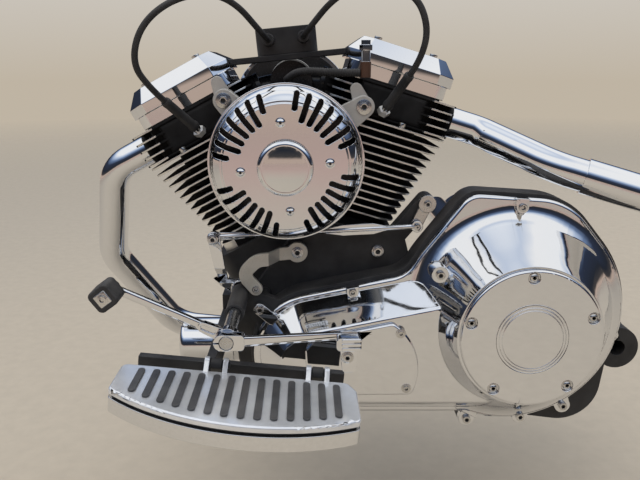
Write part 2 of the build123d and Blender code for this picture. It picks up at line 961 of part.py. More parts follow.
def cover_bracket():
    back = side_disc(dish_x, dish_z, bracket_hub_r, bracket_plate_y, dish_back_y)
    body = back
    for lean, (s, d) in ((front_lean, front_ear), (rear_lean, rear_ear)):
        ear = (Rot(0, lean, 0) * Pos(s, 0, d)).position
        arm = hull_of([(ear.X, ear.Z, lug_arm_r), (dish_x, dish_z, 30)])
        body += side_prism(arm, bracket_plate_y, dish_back_y)
        stub = hull_of([(ear.X, ear.Z, lug_arm_r - 2), (ear.X - stub_lean, ear.Z + stub_rise, 8)])
        body += side_prism(stub, bracket_plate_y + 4, bracket_plate_y - 2)
        body += side_disc(ear.X, ear.Z, lug_arm_r, -ear_seat, -ear_seat - lug_depth)
    return body


def dish_back():
    cup = side_disc(dish_x, dish_z, dish_r - 1, dish_back_y, dish_rim_y + 4)
    return cup - side_disc(dish_x, dish_z, dish_r - 5, dish_back_y - 4, dish_rim_y - 10)


def dome_section(inset=0.0):
    """Half of the cover's section: wall, curved shoulder, bead and flat face."""
    foot = (dish_wall_r - inset, 0)
    shoulder = (dish_shoulder_r - inset, dish_shoulder_rise - inset)
    bead = (dish_bead_r - inset, dish_bead_rise - inset)
    face = dish_rim_y - dish_hub_y - inset
    line = Polyline((0, face), (0, -dish_flange), (foot[0], -dish_flange), foot)
    line += ThreePointArc(foot, (foot[0] - 1.6, shoulder[1] / 2), shoulder)
    line += ThreePointArc(shoulder, (shoulder[0] - 4.2, (shoulder[1] + bead[1]) / 2 + 1), bead)
    line += Polyline(bead, (bead[0] - 2.5, bead[1]), (dish_face_r - inset, face), (0, face))
    return make_face(line)


def slotted_cover():
    """A thin mirror dome with radial slots in four groups."""
    shell = revolve(Plane.XZ * dome_section(), axis=Axis.Z)
    shell += Pos(0, 0, -dish_flange) * Cylinder(
        dish_r, dish_flange, align=(Align.CENTER, Align.CENTER, Align.MIN)
    )
    shell -= revolve(Plane.XZ * dome_section(dish_thick), axis=Axis.Z)
    shell -= Cylinder(hub_r - 6, 4 * dish_r)
    for group in range(slot_groups):
        for count in range(slots_in_group):
            place = count - (slots_in_group - 1) / 2
            turn = slot_start + 90 * group + slot_step * place
            inner_r = slot_short_r if count in (0, slots_in_group - 1) else slot_inner_r
            length = slot_outer_r - inner_r
            middle = (slot_outer_r + inner_r) / 2
            slot = extrude(Pos(middle, 0, 0) * SlotOverall(length, slot_width), amount=dish_r)
            shell -= Rot(0, 0, turn) * slot
    return Pos(dish_x, dish_rim_y, dish_z) * Rot(90, 0, 0) * shell


def hub_cap():
    side_r = hub_r - hub_step
    crown_r = side_r - 6
    profile = make_face(
        Polyline((0, 0), (hub_r, 0), (hub_r, hub_base), (side_r, hub_base), (side_r, hub_side))
        + ThreePointArc((side_r, hub_side), (side_r - 1.8, hub_side + 2.6), (crown_r, hub_rise - 1.6))
        + TangentArc((0, hub_rise), (crown_r, hub_rise - 1.6), tangent=(1, 0))
        + Line((0, hub_rise), (0, 0))
    )
    cap = revolve(Plane.XZ * profile, axis=Axis.Z)
    return Pos(dish_x, dish_hub_y, dish_z) * Rot(90, 0, 0) * cap


add("cover_bracket", cover_bracket())
add("cover_back", dish_back())
add("slotted_cover", slotted_cover())
add("hub_cap", hub_cap())


# Foot controls


def shaft_hole(y_in, y_out):
    """The room that a lever's clamp leaves for the shift shaft."""
    return side_disc(shaft_x, shaft_z, shaft_r + fit_gap, y_in + 1, y_out - 1)


toe_slope = atan2(toe_z - shaft_z, toe_x - shaft_x)


def along_toe(distance):
    """A place on the toe lever, at a distance from the shaft."""
    return shaft_x + distance * cos(toe_slope), shaft_z + distance * sin(toe_slope)


def toe_lever():
    far = toe_bar_y - toe_bar_thick
    ring = side_disc(shaft_x, shaft_z, arm_eye_r - 2, toe_bar_y + 2, clamp_y)
    arm = hull_of([(shaft_x, shaft_z, toe_bar_r + 1), (toe_x, toe_z, toe_bar_r)])
    fork = hull_of([(*along_toe(fork_rear), fork_half + 1), (*along_toe(fork_front), fork_half - 1)])
    recess = hull_of([(*along_toe(fork_rear + 14), 3), (*along_toe(fork_front), 3)])
    body = ring + side_prism(arm, toe_bar_y, far) + side_prism(fork, toe_bar_y, far - 1)
    body -= side_prism(recess, far - 1 + fork_recess, far - 3)
    body += side_disc(toe_x, toe_z, toe_eye_r, toe_bar_y, far - 4)
    return body - shaft_hole(toe_bar_y + 2, clamp_y)


def toe_peg():
    pad = Pos(toe_x, toe_z) * Rot(0, 0, toe_peg_turn) * RectangleRounded(
        2 * toe_peg_half, 2 * toe_peg_half, 6
    )
    near = toe_bar_y - toe_bar_thick - 4
    return side_prism(pad, near, near - toe_peg_length)


def heel_lever():
    far = clamp_y - clamp_depth
    clamp = hull_of([
        (shaft_x - clamp_front, shaft_z, clamp_half),
        (shaft_x + clamp_rear - 4, shaft_z - 5, 4),
        (shaft_x + clamp_rear - 4, shaft_z + 5, 4),
    ])
    block = side_prism(clamp, clamp_y, far)
    block -= Pos(shaft_x - 20, clamp_y, shaft_z) * Box(2 * 18, 4 * clamp_depth, slit_width)
    neck = hull_of([(shaft_x + clamp_rear - 4, shaft_z, 6), (heel_x, heel_z, heel_bar_half)])
    bar_far = heel_bar_y - heel_bar_thick
    body = block + side_prism(neck, heel_bar_y, bar_far)
    # Ribbed pad with its clamp below
    pad = Pos(heel_pad_x, heel_pad_z) * RectangleRounded(heel_pad_length, heel_pad_height, 5)
    body += side_prism(pad, heel_bar_y, heel_bar_y - heel_pad_depth)
    for count in range(heel_ribs):
        z = heel_pad_z + (count - (heel_ribs - 1) / 2) * heel_pad_height / heel_ribs
        rib = Pos(heel_pad_x + 2, z) * SlotOverall(heel_pad_length - 8, 3.4)
        body += side_prism(rib, heel_bar_y - 4, heel_bar_y - heel_pad_depth - 1.4)
    half = heel_block_width / 2
    low_block = hull_of([
        (heel_pad_x - half + 4, heel_pad_z - 8, 4),
        (heel_pad_x + half - 4, heel_pad_z - 8, 4),
        (heel_pad_x - half + 6, heel_block_low + 4, 4),
        (heel_pad_x + half - 6, heel_block_low + 4, 4),
    ])
    body += side_prism(low_block, heel_bar_y, heel_bar_y - heel_pad_depth + 6)
    return body - shaft_hole(clamp_y, far)


def shift_shaft():
    return side_disc(shaft_x, shaft_z, shaft_r, arm_foot_y + 4, shaft_end_y)


def shift_arm():
    """A flat arm bent twice on its way down from the rod to the shaft."""
    upper = hull_of([(rod_x, rod_z, arm_width / 2 + 1), (-127, 92, arm_width / 2 - 1)])
    lower = hull_of([(-127, 92, arm_width / 2 - 1), (shaft_x, shaft_z, arm_eye_r)])
    middle_y = (arm_foot_y + arm_top_y) / 2
    line = [
        (arm_foot_y, -400),
        (arm_foot_y, 84),
        (middle_y, 84 + arm_joggle),
        (middle_y, 106),
        (arm_top_y, 106 + arm_joggle),
        (arm_top_y, 400),
    ]
    back = [(y - arm_thick, z) for y, z in reversed(line)]
    side = make_face(Polyline(*line, *back, line[0]))
    bent = Pos(-400, 0, 0) * extrude(Plane.YZ * side, amount=800)
    body = side_prism(upper, -80, -140) + side_prism(lower, -80, -140)
    body = body & bent
    body += side_disc(shaft_x, shaft_z, arm_eye_r, arm_foot_y, arm_foot_y - 12)
    knob = side_disc(rod_x, rod_z, rod_eye_r, arm_top_y - arm_thick, arm_top_y - arm_thick - 7)
    body += fillet(knob.faces().sort_by(Axis.Y)[0].edges(), 3)
    return body - shaft_hole(arm_foot_y, arm_foot_y - 12)


rod_slope = atan2(rod_end_z - rod_z, rod_end_x - rod_x)


def rod_height(x):
    """The height of the shift rod's middle line at x."""
    return rod_z + (x - rod_x) * tan(rod_slope)


def shift_rod():
    """A thin rod with an eye at each end and a flat bar in its rear half."""
    front = (rod_x + 4, rod_y, rod_height(rod_x + 4))
    rear = (rod_end_x - 4, rod_y, rod_height(rod_end_x - 4))
    body = rod_between(front, rear, rod_r)
    flat = hull_of([
        (rod_flat_front, rod_height(rod_flat_front), 3.6),
        (rod_flat_front + 22, rod_height(rod_flat_front + 22), rod_flat_half),
        (rod_flat_rear - 16, rod_height(rod_flat_rear - 16), rod_flat_half),
        (rod_flat_rear, rod_height(rod_flat_rear), 3.6),
    ])
    body += side_prism(flat, rod_y + rod_flat / 2, rod_y - rod_flat / 2)
    strap = hull_of([(rod_x, rod_z, 6), (rod_x + 38, rod_height(rod_x + 38), 4.6)])
    body += side_prism(strap, rod_y + rod_flat / 2, rod_y - rod_flat / 2)
    body += side_disc(rod_x, rod_z, rod_eye_r, rod_y + rod_flat / 2, arm_top_y)
    lever_face = case_left - 2 - lever_thick
    return body + side_disc(rod_end_x, rod_end_z, rod_eye_r, lever_face, lever_face - 8)


def gearbox_shift_lever():
    near = case_left - 2
    body = bar(rod_end_x, rod_end_z, lever_pivot_x, lever_pivot_z, lever_width, near, near - lever_thick)
    return body + side_disc(lever_pivot_x, lever_pivot_z, lever_boss_r, case_left, near - lever_thick - 3)


def curved_stay():
    """A flat stay with a round lug above, curled round to its lower bolt and bent outwards."""
    line = FilletPolyline(
        (stay_top_x, stay_top_z),
        (stay_top_x - 54, stay_top_z - 5.5),
        (stay_low_x - 17, stay_low_z + 20),
        (stay_low_x, stay_low_z),
        radius=[22, 12],
    )
    strap = Sketch() + [
        trace(line, line_width=stay_width),
        Pos(stay_top_x, stay_top_z) * Circle(stay_lug_r),
        Pos(stay_low_x, stay_low_z) * Circle(stay_width / 2),
    ]
    body = side_prism(strap, stay_y + 20, primary_joint_y - 20)
    top = [
        (120, stay_y),
        (stay_top_x - 24, stay_y),
        (stay_top_x - 38, primary_joint_y),
        (-300, primary_joint_y),
    ]
    back = [(x, y - stay_thick) for x, y in reversed(top)]
    bends = make_face(Polyline(*top, *back, top[0]))
    return body & extrude(bends, amount=300)


# Footboard, drawn level about its hinge line and then tilted

board_place = Pos(board_x, board_y, board_z) * Rot(0, board_tilt, 0)


def board_outline(inset=0.0):
    """The board's shape from above, with a long curved outer edge."""
    sides = Polyline(
        (board_front, board_front_reach),
        (board_front, board_near),
        (board_rear_near, board_near),
        (board_rear, board_near - 20),
        (board_rear, board_rear_reach),
    )
    outer = ThreePointArc(
        (board_rear, board_rear_reach), (board_middle, board_reach), (board_front, board_front_reach)
    )
    face = fillet(make_face(sides + outer).vertices(), 9)
    return offset(face, amount=-inset) if inset else face


def board_edge(x):
    """How far out the board's curved edge lies at x."""
    outer = ThreePointArc(
        (board_rear, board_rear_reach), (board_middle, board_reach), (board_front, board_front_reach)
    )
    centre = outer.arc_center
    return centre.Y - (outer.radius ** 2 - (x - centre.X) ** 2) ** 0.5


def footboard_plate():
    low = -board_sink - board_thick
    plate = extrude(Pos(0, 0, low) * board_outline(), amount=board_thick)
    plate = fillet(plate.faces().sort_by(Axis.Z)[-1].edges(), board_roll)
    for x in hinge_places:
        for side in (-1, 1):
            middle = x + side * (hinge_gap + hinge_tab + 2) / 2
            ear = Plane(origin=(middle - hinge_tab / 2, 0, 0), z_dir=(1, 0, 0), x_dir=(0, 1, 0))
            tab = hull_of([(0, 0, hinge_tab_r), (-14, low + 3.1, 3)])
            plate += extrude(ear * tab, amount=hinge_tab)
    for x in hinge_places:
        hole = Plane(origin=(x - 30, 0, 0), z_dir=(1, 0, 0))
        plate -= extrude(hole * Circle(hinge_pin_r + running_gap), amount=60)
    return board_place * plate


def footboard_isolator():
    low = -board_sink - board_thick - isolator_thick
    band = extrude(Pos(0, 0, low) * board_outline(isolator_inset), amount=isolator_thick)
    return board_place * band


def footboard_pan():
    low = -board_sink - board_thick - isolator_thick - pan_height
    pan = extrude(Pos(0, 0, low) * board_outline(), amount=pan_height)
    pan -= extrude(Pos(0, 0, low - 1) * board_outline(pan_wall), amount=pan_height - pan_roof + 1)
    return board_place * pan


def footboard_pads():
    """Rubber strips across the board, as long as its curved edge allows."""
    pads = []
    for count in range(pad_count):
        x = pad_first + count * pad_pitch
        near = board_near - pad_margin
        far = board_edge(x) + pad_margin
        strip = Pos(x, (near + far) / 2) * Rot(0, 0, 90) * SlotOverall(near - far, pad_width)
        pads.append(extrude(Pos(0, 0, -board_sink) * strip, amount=pad_rise))
    return board_place * Compound(children=pads)


def footboard_support():
    rail_x = (board_front + board_rear) / 2
    body = Pos(rail_x, rail_y, rail_z) * Box(rail_length, rail_thick, rail_height)
    for x in hinge_places:
        lug = Plane(origin=(x - hinge_gap / 2 + 0.5, 0, 0), z_dir=(1, 0, 0), x_dir=(0, 1, 0))
        cheek = hull_of([(0, 0, 7), (rail_y - 2, rail_z + 6, 6), (rail_y - 2, rail_z - 8, 4)])
        body += extrude(lug * cheek, amount=hinge_gap - 1)
        pin = Plane(origin=(x - hinge_gap / 2 - 9, 0, 0), z_dir=(1, 0, 0))
        body += extrude(pin * Circle(hinge_pin_r), amount=hinge_gap + 18)
    body = board_place * body
    arm_end = board_y + rail_y
    arm_start = -mount_width / 2
    body += Pos(mount_pad_x - mount_thick / 2, (arm_end + arm_start) / 2, board_z - 28) * Box(
        mount_thick, arm_start - arm_end, 30
    )
    return body


add("shift_shaft", shift_shaft())
add("toe_lever", toe_lever())
add("toe_peg", toe_peg())
add("heel_lever", heel_lever())
add("shift_arm", shift_arm())
add("shift_rod", shift_rod())
add("gearbox_shift_lever", gearbox_shift_lever())
add("curved_stay", curved_stay())
add("footboard_plate", footboard_plate())
add("footboard_isolator", footboard_isolator())
add("footboard_pan", footboard_pan())
add("footboard_pads", footboard_pads())
add("footboard_support", footboard_support())


# Exhaust pipes


def with_outlet(pipe, route):
    """A pipe with a slip end on its last run, sized for the silencer's sleeve, and its bore."""
    end = Vector(*route[-1])
    way = (end - Vector(*route[-2])).normalized()
    slip = extrude(Plane(origin=tuple(end), z_dir=way) * Circle(pipe_r - slip_step), amount=slip_length)
    mouth = end + way * slip_length
    bore = Plane(origin=tuple(mouth), z_dir=-way) * Circle(pipe_r - pipe_wall)
    return pipe + slip - extrude(bore, amount=slip_length + 2 * pipe_r)


def rear_header():
    start = (Rot(0, rear_lean, 0) * Pos(port_reach, rear_port_y, deck_height + port_rise)).position
    ahead = Vector(cos(radians(rear_lean)), 0, -sin(radians(rear_lean)))
    bend = start + ahead * 46
    route = [tuple(start), tuple(bend), rear_bend, rear_end]
    return with_outlet(pipe_along(route, [44, 120], pipe_r), route)


def front_header():
    start = (Rot(0, front_lean, 0) * Pos(-port_reach, front_port_y, deck_height + port_rise)).position
    ahead = Vector(-cos(radians(front_lean)), 0, -sin(radians(-front_lean)))
    route = [tuple(start), tuple(start + ahead * 60), *front_bends, front_end]
    return with_outlet(pipe_along(route, [50, 60, 60], pipe_r), route)


def heat_shield():
    start = Vector(*rear_bend)
    end = Vector(*rear_end)
    way = (end - start).normalized()
    plane = Plane(origin=tuple(start + way * shield_start), z_dir=way)
    shell = Circle(pipe_r + shield_step) - Circle(pipe_r + fit_gap)
    return extrude(plane * shell, amount=shield_length)


def plug_lead(boot_end, outward, turns, tower):
    """A spark plug lead from a boot to a coil tower, as runs joined by arcs."""
    first = Vector(*boot_end) + Vector(*outward) * 26
    points = [Vector(*boot_end), first] + [Vector(*p) for p in turns]
    points += [Vector(*tower) + coil_out * 26, Vector(*tower)]
    radii = []
    for before, here, after in zip(points, points[1:], points[2:]):
        run = min((here - before).length, (after - here).length)
        turn = (here - before).get_angle(after - here)
        radii.append(0.45 * run / tan(radians(turn) / 2))
    print("lead radii", [round(r) for r in radii])
    return pipe_along([tuple(p) for p in points], radii, lead_r)


coil_out = Vector(0, -1, 0)


# where each lead turns, and the coil tower's place along the coil
lead_rows = {
    "front": (
        ((-222, -160, 384), (-206, -168, 430), (-162, -156, 462), (-108, -128, 466)),
        -coil_tower_x,
    ),
    "rear": (((134, -158, 424), (118, -160, 462), (78, -146, 478), (28, -120, 470)), coil_tower_x),
}


def plug_leads():
    made = {}
    for end, (turns, tower_x) in lead_rows.items():
        lean, side, shift = plug_rows[end]
        stand = Rot(0, lean, 0)
        way = plug_way(side)
        base = Vector(shift, plug_wall_y, plug_d)
        near = (stand * Pos(*(base + way * plug_length))).position
        ahead = (stand * Pos(*(base + way * (plug_length + 1)))).position
        tower_z = bracket_height + coil_tower_rise
        tower = (Rot(0, v_middle, 0) * Pos(tower_x, -coil_tower_end, tower_z)).position
        made[end + "_plug_lead"] = plug_lead(tuple(near), tuple(ahead - near), turns, tuple(tower))
    return made


def fuel_fitting():
    """A pipe coupling that stands above the fuel hose's end."""
    body = Pos(fitting_x, fitting_y, fitting_low) * Cylinder(
        fitting_r + 1, fitting_joint - fitting_low, align=(Align.CENTER, Align.CENTER, Align.MIN)
    )
    body += Pos(fitting_x, fitting_y, fitting_joint) * Cylinder(
        fitting_r, fitting_top - fitting_joint, align=(Align.CENTER, Align.CENTER, Align.MIN)
    )
    collar = extrude(
        Pos(fitting_x, fitting_y, fitting_joint + 14) * RegularPolygon(fitting_r + 2.5, 6), amount=7
    )
    return body + collar


def fuel_hose():
    """The hose from the coupling to the left end of the intake manifold."""
    left = inlet_y - port_r
    start = Vector(fitting_x - fitting_r - 1, fitting_y, fitting_low + 6)
    end = Vector(inlet_middle.X - 6, left, inlet_middle.Z + 4)
    points = [
        start,
        start - Vector(34, 0, 0),
        Vector(end.X + 18, fitting_y + 10, start.Z + 3),
        end - Vector(0, 38, 0),
        end,
    ]
    return pipe_along([tuple(p) for p in points], hose_bends, hose_r)


add("fuel_fitting", fuel_fitting())
add("fuel_hose", fuel_hose())
for lead_name, lead in plug_leads().items():
    add(lead_name, lead)
add("rear_header", rear_header())
add("heat_shield", heat_shield())
add("front_header", front_header())

os.makedirs("parts", exist_ok=True)
for name, solid in nodes.items():
    export_step(MOVE * solid, f"parts/{name}.step")
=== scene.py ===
import json
from math import cos, pi, radians, sin

import bmesh
import bpy
from bpy.props import FloatProperty, FloatVectorProperty, PointerProperty
from mathutils import Matrix, Vector
from mathutils.bvhtree import BVHTree

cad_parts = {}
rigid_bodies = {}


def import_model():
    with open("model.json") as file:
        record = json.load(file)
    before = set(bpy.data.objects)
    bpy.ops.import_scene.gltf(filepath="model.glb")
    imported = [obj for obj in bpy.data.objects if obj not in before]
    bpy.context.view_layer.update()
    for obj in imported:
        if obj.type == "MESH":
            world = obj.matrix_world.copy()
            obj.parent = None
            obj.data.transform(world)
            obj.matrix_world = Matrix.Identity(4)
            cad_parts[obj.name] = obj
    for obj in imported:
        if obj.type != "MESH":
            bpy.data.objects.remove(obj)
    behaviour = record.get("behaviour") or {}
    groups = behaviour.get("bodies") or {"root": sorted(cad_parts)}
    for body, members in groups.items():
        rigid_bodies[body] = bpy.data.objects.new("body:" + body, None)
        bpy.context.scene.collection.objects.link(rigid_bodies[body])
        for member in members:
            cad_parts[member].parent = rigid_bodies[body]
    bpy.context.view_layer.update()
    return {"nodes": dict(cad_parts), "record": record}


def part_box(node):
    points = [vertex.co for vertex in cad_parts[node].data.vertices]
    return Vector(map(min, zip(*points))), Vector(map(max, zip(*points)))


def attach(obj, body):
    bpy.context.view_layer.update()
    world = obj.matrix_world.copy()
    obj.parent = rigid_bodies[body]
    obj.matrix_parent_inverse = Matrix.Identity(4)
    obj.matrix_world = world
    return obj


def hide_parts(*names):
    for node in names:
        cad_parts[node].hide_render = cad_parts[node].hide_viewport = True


bl_info = {
    "name": "V-twin powertrain finishes",
    "version": (1, 0),
    "blender": (4, 5, 0),
    "location": "3D View > Sidebar > Powertrain",
    "description": "Finished pieces, hardware, leads and stage for a motorcycle engine "
                   "and its foot controls",
    "category": "Object",
}

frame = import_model()
BODY_OF = {
    node: body for body, nodes in frame["record"]["behaviour"]["bodies"].items() for node in nodes
}

# The crankshaft's place from the pivot bore, from which the engine's sizes are measured
CRANK = Vector((-0.437, 0.0, 0.017))
MM = 0.001
LEFT = Vector((0.0, -1.0, 0.0))
RIGHT = Vector((0.0, 1.0, 0.0))
UP = Vector((0.0, 0.0, 1.0))
ENDS = ("front", "rear")
# Lean of each cylinder from upright, towards the rear
LEAN = {"front": -28.0, "rear": 17.0}
SQUARE = ((-1, -1), (1, -1), (1, 1), (-1, 1))


def at(x, y, z):
    """A place measured in millimetres from the crankshaft, in the frame."""
    return CRANK + Vector((x, y, z)) * MM


def leaning(end):
    """The turn that brings an upright cylinder into its lean."""
    return Matrix.Rotation(radians(LEAN[end]), 3, "Y")


# Sizes and colours that a user may change


class StageSettings(bpy.types.PropertyGroup):
    camera_place: FloatVectorProperty(
        name="Camera place", description="Where the camera stands",
        default=(-0.45152, -1.028, 0.39824), subtype="TRANSLATION", unit="LENGTH",
    )
    camera_pitch: FloatProperty(
        name="Camera pitch", description="How far the camera looks down",
        default=radians(14.0), subtype="ANGLE",
    )
    camera_yaw: FloatProperty(
        name="Camera yaw", description="How far the camera turns to the rear of the engine",
        default=radians(1.2), subtype="ANGLE",
    )
    focal_length: FloatProperty(
        name="Focal length", description="Focal length on a sensor 36 mm wide",
        default=39.375, unit="CAMERA",
    )
    floor_drop: FloatProperty(
        name="Floor drop", description="Height of the crankshaft above the floor",
        default=0.30, unit="LENGTH",
    )
    floor_colour: FloatVectorProperty(
        name="Floor", description="Colour of the floor",
        default=(0.53, 0.465, 0.375), subtype="COLOR",
    )
    sky_colour: FloatVectorProperty(
        name="Surround", description="Colour of the pale surround behind the object",
        default=(0.66, 0.65, 0.63), subtype="COLOR",
    )
    key_power: FloatProperty(
        name="Key lamp", description="Power of the large lamp above", default=52.0, unit="POWER"
    )


class FinishSettings(bpy.types.PropertyGroup):
    chrome: FloatVectorProperty(
        name="Chrome", description="Colour of the plating",
        default=(0.80, 0.81, 0.83), subtype="COLOR",
    )
    black_paint: FloatVectorProperty(
        name="Black paint", description="Colour of the paint on the castings",
        default=(0.012, 0.012, 0.013), subtype="COLOR",
    )
    aluminium: FloatVectorProperty(
        name="Aluminium", description="Colour of the bare castings",
        default=(0.60, 0.585, 0.555), subtype="COLOR",
    )
    rubber: FloatVectorProperty(
        name="Rubber", description="Colour of the rubber",
        default=(0.018, 0.018, 0.019), subtype="COLOR",
    )
    dust: FloatVectorProperty(
        name="Dust", description="Colour of the road dust on upward faces",
        default=(0.42, 0.39, 0.35), subtype="COLOR",
    )
    edge_break: FloatProperty(
        name="Edge break", description="Width of the small bevel on machined and moulded edges",
        default=0.0008, unit="LENGTH",
    )


# Nodes and groups that several finishes and pieces share

# Places of the colour sockets on a mix node
MIX_A, MIX_B, MIX_RESULT = 6, 7, 2


def node_with(tree, kind, links=None, **settings):
    """A node with its properties set and its inputs linked or given, by name or number."""
    node = tree.nodes.new(kind)
    for label, value in settings.items():
        setattr(node, label, value)
    for label, value in (links or {}).items():
        socket = node.inputs[label]
        if isinstance(value, bpy.types.NodeSocket):
            tree.links.new(value, socket)
        else:
            socket.default_value = value
    return node


def math_node(tree, operation, *values, clamp=False):
    """The result of an arithmetic step on sockets or numbers."""
    links = dict(enumerate(values))
    return node_with(tree, "ShaderNodeMath", links, operation=operation, use_clamp=clamp).outputs[0]


def object_place(tree):
    """Coordinates that stay with the piece."""
    return tree.nodes.new("ShaderNodeTexCoord").outputs["Object"]


def noise(tree, scale, detail=3.0, roughness=0.55, stretch=None):
    """Noise on the piece's own coordinates, with features one over scale metres long."""
    place = object_place(tree)
    if stretch:
        place = node_with(tree, "ShaderNodeMapping", {"Vector": place, "Scale": stretch}).outputs[0]
    links = {"Vector": place, "Scale": scale, "Detail": detail, "Roughness": roughness}
    return node_with(tree, "ShaderNodeTexNoise", links).outputs[0]


def spread(tree, value, low, high, to_low=0.0, to_high=1.0):
    """A value brought from one range to another, and kept inside it."""
    links = {"Value": value, "From Min": low, "From Max": high, "To Min": to_low, "To Max": to_high}
    return node_with(tree, "ShaderNodeMapRange", links, clamp=True).outputs[0]


def mix_colours(tree, factor, first, second):
    """A blend of two colours, each a socket or three numbers."""
    first, second = (
        value if isinstance(value, bpy.types.NodeSocket) else (*value[:3], 1.0)
        for value in (first, second)
    )
    links = {"Factor": factor, MIX_A: first, MIX_B: second}
    return node_with(tree, "ShaderNodeMix", links, data_type="RGBA").outputs[MIX_RESULT]


def new_group(name, kind, inputs, outputs):
    """An empty node group, its sockets given as label, kind of socket and, for inputs, default."""
    group = bpy.data.node_groups.new(name, kind)
    for label, sort, default in inputs:
        socket = group.interface.new_socket(label, in_out="INPUT", socket_type="NodeSocket" + sort)
        if default is not None:
            socket.default_value = default
    for label, sort in outputs:
        group.interface.new_socket(label, in_out="OUTPUT", socket_type="NodeSocket" + sort)
    entry = group.nodes.new("NodeGroupInput")
    leave = group.nodes.new("NodeGroupOutput")
    return group, entry.outputs, leave.inputs


def built_once(maker):
    """Builds a group the first time, and finds it by its maker's name after that."""
    def group():
        return bpy.data.node_groups.get(maker.__name__) or maker(maker.__name__)

    return group


@built_once
def road_dust(name):
    """Mask of thin dust that settles on upward faces in patches."""
    group, given, leave = new_group(
        name, "ShaderNodeTree", (("Amount", "Float", 0.5),), (("Mask", "Float"),)
    )
    normal = group.nodes.new("ShaderNodeNewGeometry").outputs["Normal"]
    parts = node_with(group, "ShaderNodeSeparateXYZ", {0: normal})
    facing_up = spread(group, parts.outputs["Z"], -0.2, 1.0)
    patches = spread(group, noise(group, 22.0, 4.0), 0.35, 0.75)
    specks = spread(group, noise(group, 900.0, 2.0), 0.45, 0.75)
    speckled = math_node(group, "MULTIPLY_ADD", specks, 0.5, 0.5)
    mask = math_node(group, "MULTIPLY", facing_up, patches)
    mask = math_node(group, "MULTIPLY", mask, speckled)
    mask = math_node(group, "MULTIPLY", mask, given["Amount"], clamp=True)
    group.links.new(mask, leave["Mask"])
    return group


@built_once
def surface_grain(name):
    """Height and value of an even fine grain, as cast or moulded surfaces have."""
    group, given, leave = new_group(
        name, "ShaderNodeTree", (("Scale", "Float", 800.0),),
        (("Height", "Float"), ("Value", "Float")),
    )
    group.links.new(noise(group, given["Scale"], 4.0, 0.6), leave["Height"])
    group.links.new(spread(group, noise(group, 35.0), 0.3, 0.7), leave["Value"])
    return group


@built_once
def hairlines(name):
    """Value of fine wiping marks that run around a polished surface."""
    group, given, leave = new_group(
        name, "ShaderNodeTree", (("Scale", "Float", 60.0),), (("Value", "Float"),)
    )
    along = noise(group, given["Scale"], 5.0, 0.7, stretch=(1.0, 1.0, 14.0))
    across = noise(group, given["Scale"], 5.0, 0.7, stretch=(12.0, 1.0, 1.0))
    both = math_node(group, "MULTIPLY", along, across)
    group.links.new(spread(group, both, 0.12, 0.42), leave["Value"])
    return group


def placed(tree, group, **values):
    """The outputs of a group placed in a material, with its input numbers."""
    links = {label.capitalize(): value for label, value in values.items()}
    return node_with(tree, "ShaderNodeGroup", links, node_tree=group).outputs


# Finishes


def tone(label, share=1.0):
    """One of the colours that a user may change, made lighter or darker."""
    return [share * c for c in getattr(bpy.context.scene.powertrain_finish, label)]


def new_finish(name, metallic, coat=0.0, coat_roughness=0.1, specular=0.5):
    """A material with its principled shader, whose even values sit on its own sockets."""
    material = bpy.data.materials.new(name)
    material.use_nodes = True
    shader = material.node_tree.nodes["Principled BSDF"]
    shader.inputs["Metallic"].default_value = metallic
    shader.inputs["Coat Weight"].default_value = coat
    shader.inputs["Coat Roughness"].default_value = coat_roughness
    shader.inputs["Specular IOR Level"].default_value = specular
    return material, material.node_tree, shader


def lay_on(tree, shader, colour, rough, dust, dulling, height, strength, distance):
    """Gives a shader its colour and roughness under a layer of dust, and its bumps."""
    dusty = mix_colours(tree, dust, colour, tone("dust"))
    tree.links.new(dusty, shader.inputs["Base Color"])
    dulled = math_node(tree, "MULTIPLY", dust, dulling)
    tree.links.new(math_node(tree, "ADD", rough, dulled, clamp=True), shader.inputs["Roughness"])
    links = {"Strength": strength, "Distance": distance, "Height": height}
    bumps = node_with(tree, "ShaderNodeBump", links)
    tree.links.new(bumps.outputs["Normal"], shader.inputs["Normal"])


def chrome(name, tint, wave_scale, wave_depth):
    """Bright plating, whose reflections waver as the casting or tube under it does."""
    material, tree, shader = new_finish(name, 1.0)
    dust = placed(tree, road_dust(), amount=0.05)["Mask"]
    marks = placed(tree, hairlines(), scale=60.0)["Value"]
    rough = spread(tree, marks, 0.0, 1.0, 0.02, 0.055)
    wave = noise(tree, wave_scale, 1.5, 0.4)
    lay_on(tree, shader, tone("chrome", tint), rough, dust, 0.7, wave, 0.10, wave_depth)
    return material


def grained(name, shader_of, low, high, rough, scale, depth, distance, dust):
    """A finish with grain, whose colour and polish change a little over the surface."""
    material, tree, shader = shader_of
    layer = placed(tree, road_dust(), amount=dust)["Mask"]
    grain = placed(tree, surface_grain(), scale=scale)
    colour = mix_colours(tree, grain["Value"], low, high)
    polish = spread(tree, grain["Height"], 0.3, 0.7, *rough)
    lay_on(tree, shader, colour, polish, layer, 0.5, grain["Height"], depth, distance)
    return material


def metal(name, low, high, rough, scale=900.0, depth=0.1, dust=0.2, metallic=1.0):
    """A bare metal between two tones, with its least and greatest roughness."""
    return grained(name, new_finish(name, metallic), low, high, rough, scale, depth, 0.0004, dust)


def paint(name, dark, shine, scale, depth, dust, coat, specular=0.5):
    """A dark coating, a little worn grey and with dust on what faces up."""
    shader_of = new_finish(name, 0.0, coat=coat, coat_roughness=shine, specular=specular)
    worn = [1.9 * c + 0.004 for c in dark]
    return grained(name, shader_of, dark, worn, (shine, shine + 0.16), scale, depth, 0.0006, dust)


def polished_chrome():
    return chrome("polished_chrome", tint=1.0, wave_scale=14.0, wave_depth=0.002)


def cast_chrome():
    return chrome("cast_chrome", tint=0.97, wave_scale=20.0, wave_depth=0.005)


